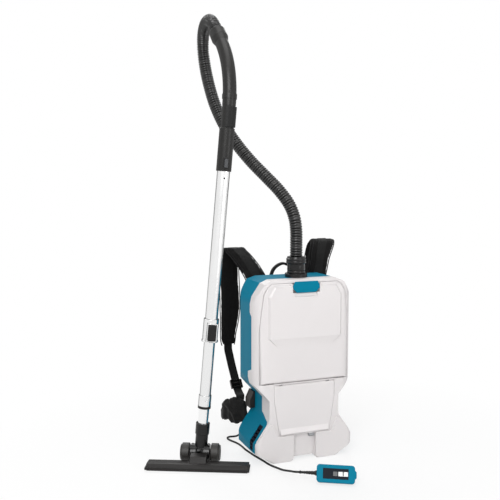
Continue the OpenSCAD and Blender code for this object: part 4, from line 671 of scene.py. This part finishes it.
for node, material, slot, width in (
        ("front_housing", shell_white, "white", 1.2), ("rear_housing", shell_teal, "teal", 1.6),
        ("bag_door", door_white, "white", 1.1), ("battery_door", door_white, "white", 1.0),
        ("door_latch", shell_teal, "teal", 1.4), ("battery_catch", grey_plastic, "grey", 0.5),
        ("inlet_port", black_satin, "black", 0.8),
        ("handle_cuff", handle_black, "black", 1.0), ("handle", handle_black, "black", 0.8),
        ("handle_grip", rubber_black, "rubber", 0.8), ("handle_lock_button", blank_grey, "black", 0.8),
        ("tube_sleeve", tube_bright, "tube", 0.5), ("tube_release_button", black_satin, "black", 1.0),
        ("nozzle_neck", black_satin, "black", 0.7), ("nozzle_base", black_plastic, "black", 1.0),
        ("nozzle_wheels", tread_rubber, "rubber", 1.6), ("remote_case", shell_teal, "teal", 1.6),
        ("remote_panel", panel_navy, "panel", 0.3), ("power_button", key_white, "key", 0.5),
        ("mode_button", key_white, "key", 0.5), ("remote_clip", black_satin, "black", 0.5),
        ("belt_brackets", bracket_brown, "black", 1.4), ("strap_buckles", black_satin, "black", 0.8),
        ("belt_buckle", black_satin, "black", 1.2), ("harness_plate", inner_plastic, "inner", 1.2),
        ("exhaust_grilles", grille_navy_and_shade, "inner", 0.3), ("outer_tube", tube_silver, "tube", 0.2),
        ("inner_tube", tube_bright, "tube", 0.2), ("nozzle_pipe", pipe_chrome, "chrome", 0.2),
        ("tube_seal_ring", rubber_black, "rubber", 0.5), ("battery_left", battery_black, "battery", 0.5),
        ("battery_right", battery_black, "battery", 0.5), ("battery_button_left", button_red, "red", 0.8),
        ("battery_button_right", button_red, "red", 0.8)):
    softened(node, material, width)

for node, material in (
        ("inner_chassis", inner_plastic), ("bag_collar", collar_card), ("hepa_filter", filter_paper),
        ("motor_casing", grey_plastic), ("motor_stator", winding_copper), ("motor_bearings", steel),
        ("fan_rotor", cast_alloy), ("motor_mounts", rubber_black), ("control_board", board_green),
        ("housing_screws", steel), ("hinge_pins", steel), ("door_gasket", rubber_black),
        ("latch_spring", steel), ("nozzle_brushes", bristle)):
    carried_node = frame["nodes"][node]
    carried_node.data.materials.clear()
    carried_node.data.materials.append(material)


# ---- Padded fabric ----

CLOTH_FRAMES = 20
CLOTH_STIFFNESS = 12.0


def stuffed(obj, voxel, pressure, cap):
    """Remeshes a closed shape in steps of `voxel`, blows it up as cloth, and keeps each
    point within `cap` of where it was, both in millimetres."""
    bpy.context.view_layer.objects.active = obj
    remesh = obj.modifiers.new("remesh", "REMESH")
    remesh.mode = "VOXEL"
    remesh.voxel_size = voxel * MM
    evaluated = obj.evaluated_get(bpy.context.evaluated_depsgraph_get())
    mesh = bpy.data.meshes.new_from_object(evaluated)
    obj.modifiers.clear()
    obj.data = mesh
    cloth = obj.modifiers.new("cloth", "CLOTH")
    settings = cloth.settings
    settings.quality = 5
    settings.mass = 0.3
    settings.tension_stiffness = settings.compression_stiffness = CLOTH_STIFFNESS
    settings.shear_stiffness = CLOTH_STIFFNESS * 0.4
    settings.bending_stiffness = 0.4
    settings.use_pressure = True
    settings.uniform_pressure_force = pressure
    settings.effector_weights.gravity = 0
    cloth.point_cache.frame_end = CLOTH_FRAMES
    for step in range(1, CLOTH_FRAMES + 1):
        scene.frame_set(step)
    blown = obj.evaluated_get(bpy.context.evaluated_depsgraph_get()).data
    n = len(mesh.vertices)
    rest, moved = np.empty(n * 3), np.empty(n * 3)
    mesh.vertices.foreach_get("co", rest)
    blown.vertices.foreach_get("co", moved)
    rest, moved = rest.reshape(-1, 3), moved.reshape(-1, 3)
    move = moved - rest
    size = np.linalg.norm(move, axis=1, keepdims=True)
    move *= np.minimum(1, cap * MM / np.maximum(size, 1e-9))
    obj.modifiers.clear()
    mesh.vertices.foreach_set("co", (rest + move).ravel())
    scene.frame_set(1)
    mesh.shade_smooth()


def positions(mesh):
    """The mesh's points in millimetres."""
    co = np.empty(len(mesh.vertices) * 3)
    mesh.vertices.foreach_get("co", co)
    return co.reshape(-1, 3) / MM


def strap_flow(obj, path, across):
    """UV of a strap: across it, and along its route, at the nearest point of the route."""
    mesh = obj.data
    a, _ = path_axes(path, across)
    co = positions(mesh)
    near = ((co[:, None] - path[None]) ** 2).sum(2).argmin(1)
    s = np.concatenate([[0], np.cumsum(np.linalg.norm(np.diff(path, axis=0), axis=1))])
    tangent = unit(np.gradient(path, axis=0))
    gap = co - path[near]
    uv = np.stack([(gap * a[near]).sum(1), s[near] + (gap * tangent[near]).sum(1)], 1) * MM
    layer = mesh.uv_layers.new(name="flow")
    corner = np.empty(len(mesh.loops), np.int64)
    mesh.loops.foreach_get("vertex_index", corner)
    layer.data.foreach_set("uv", uv[corner].astype(np.float32).ravel())


def wrinkled(obj, depth, scale, phase, stretch=(1, 1, 1)):
    """Creases: each point moves along its normal by a sum of three slow sines in mixed
    directions, two of them bent by another sine, sharpened so that the folds are narrow."""
    mesh = obj.data
    co = positions(mesh)
    normal = np.empty(len(mesh.vertices) * 3)
    mesh.vertices.foreach_get("normal", normal)
    q = co * np.asarray(stretch) / scale
    f = (np.sin(q @ [1.0, 0.4, 0.2] + phase + 1.7 * np.sin(q @ [0.1, 0.9, -0.5]))
         + np.sin(q @ [-0.5, 0.9, 0.6] + 2 * phase + 1.3 * np.sin(q @ [0.8, 0.1, 0.5]))
         + np.sin(q @ [0.3, -0.6, 1.1] + 3 * phase)) / 3
    f = 0.5 - np.abs(f) ** 0.7
    moved = co + normal.reshape(-1, 3) * (f * depth)[:, None]
    mesh.vertices.foreach_set("co", (moved * MM).ravel())
    mesh.update()


def finer(obj):
    """One more subdivision, the same in view and render."""
    sub = obj.modifiers.new("finer", "SUBSURF")
    sub.levels = sub.render_levels = 1


def on_surface(tree, points, outward, lift):
    """Points dropped on a surface from outside, and lifted off it."""
    found = []
    for p, o in zip(points, outward):
        start = Vector(((p + o * 30) * MM).tolist())
        hit, normal, _, _ = tree.ray_cast(start, Vector((-o).tolist()), 0.06)
        if hit is None:
            hit, normal, _, _ = tree.find_nearest(Vector((p * MM).tolist()))
        found.append(np.array(hit) / MM + o * lift)
    return np.array(found)


def stitches(points, outward, length=3.2, gap=1.8, r=0.35):
    """A row of small slanted thread boxes along a line of points."""
    path = smooth_path(points, 0.5)
    total = path_length(path)
    n = int(total / (length + gap))
    last = len(path) - 1
    out_axis = smooth_path(np.asarray(points) + np.asarray(outward) * 20, 0.5)
    shapes = []
    for k in range(n):
        i0 = int((k + 0.1) * last / n)
        i1 = min(i0 + max(int(length / (total / last)), 1), last)
        start, end = path[i0], path[i1]
        up = unit(out_axis[min(int(i0 * (len(out_axis) - 1) / last), len(out_axis) - 1)] - start)
        line = np.array([start - up * r, start + up * r * 0.6, end + up * r * 0.6, end - up * r])
        shapes.append(grid(carried(line, disc(r, 4), np.cross(up, end - start) + 1e-6), ends=True))
    return shapes


def pad_section(w, t):
    """Section of a pad: a box w by t with full corners."""
    return soft_box(w, t, 5.0, 40)


def shoulder_pad(side, route, phase, widths):
    """Shoulder pad: a flat rounded section carried along its route, blown up as cloth,
    with piping down both edges, two rows of stitches and a sewn-on webbing."""
    node = "shoulder_pad_" + side
    path = smooth_path(route, 4)
    a, b = path_axes(path, (1, 0, 0))
    n = len(path)
    ends = np.clip(np.minimum(np.arange(n), n - 1 - np.arange(n)) / 4.0, 0, 1) ** 0.5
    wide = np.interp(np.linspace(0, 1, n), np.linspace(0, 1, len(widths)), widths)
    scale = np.stack([(0.86 + 0.14 * ends) * wide, 0.55 + 0.45 * ends], 1)
    shape = carried(path, pad_section(PAD_W, PAD_T), (1, 0, 0), scale)
    body = make_mesh(node + "_cloth", [grid(shape, ends=True)])
    tidy_mesh(body, 80)
    stuffed(body, 4.5, 3.0, 2.4)
    wrinkled(body, 1.5, 8.5, phase, (0.5, 1.0, 1.0))
    strap_flow(body, path, (1, 0, 0))
    finer(body)
    finish_piece(body, "pack", pad_cloth, node)
    tree = BVHTree.FromObject(body, bpy.context.evaluated_depsgraph_get())
    trims, threads = [], []
    for edge in (-1, 1):
        rim = path + a * edge * (PAD_W / 2 + 0.2) * scale[:, :1]
        trims.append(grid(carried(smooth_path(rim, 3), disc(1.5, 10), (1, 0, 0)), ends=True))
        for face in (-1, 1):
            line = on_surface(tree, (path + a * edge * 26)[3:-3:2], (b * face)[3:-3:2], 0.15)
            threads += stitches(line, (b * face)[3:-3:2])
    piece(node + "_piping", trims, "pack", webbing_weave)
    piece(node + "_stitches", threads, "pack", thread)
    # Webbing sewn down the middle of the outer face
    face = b if (b[n // 2] @ np.array([0, 1, 0])) > 0 else -b
    top = on_surface(tree, path[6:-1:2], face[6:-1:2], 0.7)
    strap = carried(smooth_path(top, 4), soft_box(STRAP_W, 1.5, 6, 20), (1, 0, 0))
    piece(node + "_webbing", grid(strap, ends=True), "pack", webbing_weave)


shoulder_pad("left", LEFT_PAD, 0.4, LEFT_WIDTHS)
shoulder_pad("right", RIGHT_PAD, 2.1, RIGHT_WIDTHS)


def mirrored(points):
    """The same route on the other side."""
    return [[-p[0], p[1], p[2]] for p in points]


def harness_straps():
    """Adjusting webbing from the pads to the brackets, and the grab loop."""
    grids = []
    # The upper end is tucked into the pad and the lower end is sewn to the belt's edge
    sewn = [[-127, 199.8, 277]] + WEBBING + [[-126, 98.5, 143], [-127, 96.5, 134]]
    for route in (sewn, mirrored(sewn)):
        path = smooth_path(route, 3)
        grids.append(grid(carried(path, soft_box(STRAP_W, 1.9, 6, 24), (1, 0, 0)), ends=True))
    piece("strap_webbing_woven", grids, "pack", webbing_weave, "strap_webbing")
    tape = carried(smooth_path(LOOP, 2.5), soft_box(15.6, 7.4, 3.2, 28), (0, 1, 0))
    loop = piece("grab_loop_woven", grid(tape, ends=True), "pack", webbing_weave, "grab_loop")


harness_straps()


def key_blank():
    """Dark cover over the third key place of the remote control."""
    place = np.array([[-1, -8.6, 22], [-1, -9.1, 22], [-1, -9.6, 22]], float)
    shape = grid(carried(place, soft_box(10.6, 10.6, 9, 28), (1, 0, 0)), ends=True)
    piece("remote_key_blank", in_frame(REMOTE, shape), "pack", blank_grey)


key_blank()


def belt_wing(side):
    """Belt wing: a padded section that narrows along its route, blown up as cloth and
    creased by two scales of folds."""
    route = BELT if side == "left" else mirrored(BELT)
    path = smooth_path(route, 4)
    t = np.linspace(0, len(BELT_WIDTHS) - 1, len(path))
    width = np.interp(t, np.arange(len(BELT_WIDTHS)), BELT_WIDTHS)
    thick = np.interp(t, np.arange(len(BELT_THICKNESSES)), BELT_THICKNESSES)
    shape = carried(path, pad_section(BELT_W, BELT_T), (0, 0, 1), np.stack([width, thick], 1))
    body = make_mesh(f"belt_{side}_cloth", [grid(shape, ends=True)])
    tidy_mesh(body, 80)
    stuffed(body, 4.5, 3.0, 2.4)
    phase = 0.8 if side == "left" else 2.6
    wrinkled(body, 8.5, 15.0, phase, (1, 1, 0.7))
    wrinkled(body, 5.0, 7.5, phase + 1)
    strap_flow(body, path, (0, 0, 1))
    finer(body)
    finish_piece(body, "pack", belt_cloth, "belt_" + side)


belt_wing("left")
belt_wing("right")


def back_pad():
    """Back pad: two foam halves beside an air channel, blown up as cloth, with a sewn
    channel each 62 mm and piping round both halves."""
    shapes, rims = [], []
    low, high, channel = 104, 438, 62
    outline = np.array([[11, low], [79, low], [81, 196], [99, 232], [99, 422], [92, high],
                        [11, high]], float)
    ring_path = eased(outline, 12, steps=4)
    centre = np.array([52.0, 270.0])
    for side in (-1, 1):
        rows = []
        for inset, y in ((0, 80.5), (0, 91), (2.0, 95.5), (6.5, 97.6), (14, 98.2)):
            loop = ring_path + unit(centre - ring_path) * inset
            rows.append(np.stack([loop[:, 0] * side, np.full(len(loop), y), loop[:, 1]], 1))
        shapes.append(grid(np.array(rows), ends=True))
        rim = np.stack([ring_path[:, 0] * side, np.full(len(ring_path), 90.5), ring_path[:, 1]], 1)
        closed = smooth_path(np.concatenate([rim, rim[:1]]), 3)
        rims.append(grid(carried(closed, disc(1.4, 8), (0, 1, 0)), ends=True))
    body = make_mesh("back_pad_cloth", shapes)
    tidy_mesh(body, 80)
    stuffed(body, 5.0, 3.0, 1.2)
    co = positions(body.data)
    off_seam = (co[:, 2] - low - 30) % channel - channel / 2
    groove = np.exp(-(off_seam / 4.0) ** 2) * np.clip((co[:, 1] - 88) / 8, 0, 1)
    co[:, 1] -= 5.5 * groove
    body.data.vertices.foreach_set("co", (co * MM).ravel())
    wrinkled(body, 0.6, 9.0, 1.1)
    strap_flow(body, np.stack([np.zeros(80), np.full(80, 90), np.linspace(100, 444, 80)], 1), (1, 0, 0))
    finer(body)
    finish_piece(body, "pack", pad_mesh, "back_pad")
    piece("back_pad_piping", rims, "pack", webbing_weave)


back_pad()


def dust_bag():
    """Dust bag: a rounded box blown up as cloth, with soft creases and a stiff neck."""
    rows = []
    for z, k in ((257, 0.3), (258, 0.78), (264, 0.96), (280, 1), (350, 1), (400, 1), (426, 0.96),
                 (434, 0.8), (436, 0.32)):
        section = soft_box(184 * k, 78 * k, 4, 48)
        rows.append(np.stack([section[:, 0], section[:, 1] + 5, np.full(48, z)], 1))
    body = make_mesh("dust_bag_fleece", [grid(np.array(rows), ends=True)])
    tidy_mesh(body, 80)
    stuffed(body, 6.0, 3.0, 2.5)
    wrinkled(body, 2.2, 14.0, 0.5)
    finer(body)
    finish_piece(body, "pack", bag_fleece, "dust_bag")
    neck = turned(eased([[20, 434], [32, 434], [32, 452.6], [20, 452.6]], 1.0), 40) + [0, INLET_Y, 0]
    piece("dust_bag_neck", grid(neck, along=True), "pack", collar_card)


dust_bag()


# ---- Light and floor ----

def soft_lamp(name, place, size, watts):
    """A soft area lamp aimed at the object's middle."""
    lamp = bpy.data.objects.new(name, bpy.data.lights.new(name, "AREA"))
    lamp.data.shape = "RECTANGLE"
    lamp.data.size, lamp.data.size_y = size
    lamp.data.energy = watts
    lamp.location = place
    aim = Vector((0, 0, 0.5)) - Vector(place)
    lamp.rotation_euler = aim.to_track_quat("-Z", "Y").to_euler()
    scene.collection.objects.link(lamp)


soft_lamp("key_lamp", (-1.7, -2.5, 2.3), (1.8, 1.8), 76)
soft_lamp("fill_lamp", (1.6, -2.9, 0.9), (1.6, 1.4), 19)
soft_lamp("top_lamp", (-0.1, -0.5, 2.9), (1.6, 1.6), 20)
soft_lamp("rim_lamp", (0.4, 2.4, 2.4), (2.4, 1.2), 42)


def backdrop_rays(tree):
    """One for the rays that see the backdrop as white: camera, glossy and transmission rays."""
    rays = add(tree, "ShaderNodeLightPath")
    total = rays.outputs["Is Camera Ray"]
    for kind in ("Is Glossy Ray", "Is Transmission Ray"):
        total = math_node(tree, "MAXIMUM", total, rays.outputs[kind])
    return total


def studio_world():
    """White for the rays that see the backdrop, and weaker as a light. In reflections the
    wall behind the object is darker than the one that it faces."""
    world = bpy.data.worlds.new("studio")
    scene.world = world
    world.use_nodes = True
    tree = world.node_tree
    ahead = add(tree, "ShaderNodeVectorMath", operation="DOT_PRODUCT")
    ahead.inputs[1].default_value = ROOM_FRONT
    tree.links.new(add(tree, "ShaderNodeTexCoord").outputs["Generated"], ahead.inputs[0])
    wall = math_node(tree, "MULTIPLY", spread(tree, ahead.outputs["Value"], 0.7, 0.0, -0.9, -0.35),
                     add(tree, "ShaderNodeLightPath").outputs["Is Glossy Ray"])
    strength = math_node(tree, "SUBTRACT", spread(tree, backdrop_rays(tree), WORLD_LIGHT, 1.0), wall)
    background = tree.nodes["Background"]
    background.inputs["Color"].default_value = (1, 1, 1, 1)
    tree.links.new(strength, background.inputs["Strength"])


def studio_floor():
    """Pale floor that keeps the object's shadow and turns into the white backdrop with the
    distance from the object."""
    half = 9000
    corners = np.array([[[-half, -half, 0], [half, -half, 0]], [[-half, half, 0], [half, half, 0]]])
    floor = make_mesh("studio_floor", [grid(corners, around=False)])
    material, tree, bsdf = shader("studio_floor", (0.86, 0.86, 0.86), 0.6)
    distance = add(tree, "ShaderNodeVectorMath", operation="LENGTH")
    tree.links.new(add(tree, "ShaderNodeTexCoord").outputs["Object"], distance.inputs[0])
    white = math_node(tree, "MULTIPLY", spread(tree, distance.outputs["Value"], 0.75, 1.0, 0.3, 0.9),
                      backdrop_rays(tree))
    glow = add(tree, "ShaderNodeEmission", Strength=1.0)
    mixed = add(tree, "ShaderNodeMixShader")
    tree.links.new(white, mixed.inputs[0])
    tree.links.new(bsdf.outputs[0], mixed.inputs[1])
    tree.links.new(glow.outputs[0], mixed.inputs[2])
    tree.links.new(mixed.outputs[0], tree.nodes["Material Output"].inputs["Surface"])
    floor.data.materials.append(material)


# The level way from the object to the room's front, and the world's strength as a light
ROOM_FRONT, WORLD_LIGHT = (-0.36, -0.93, 0), 0.3
studio_world()
studio_floor()
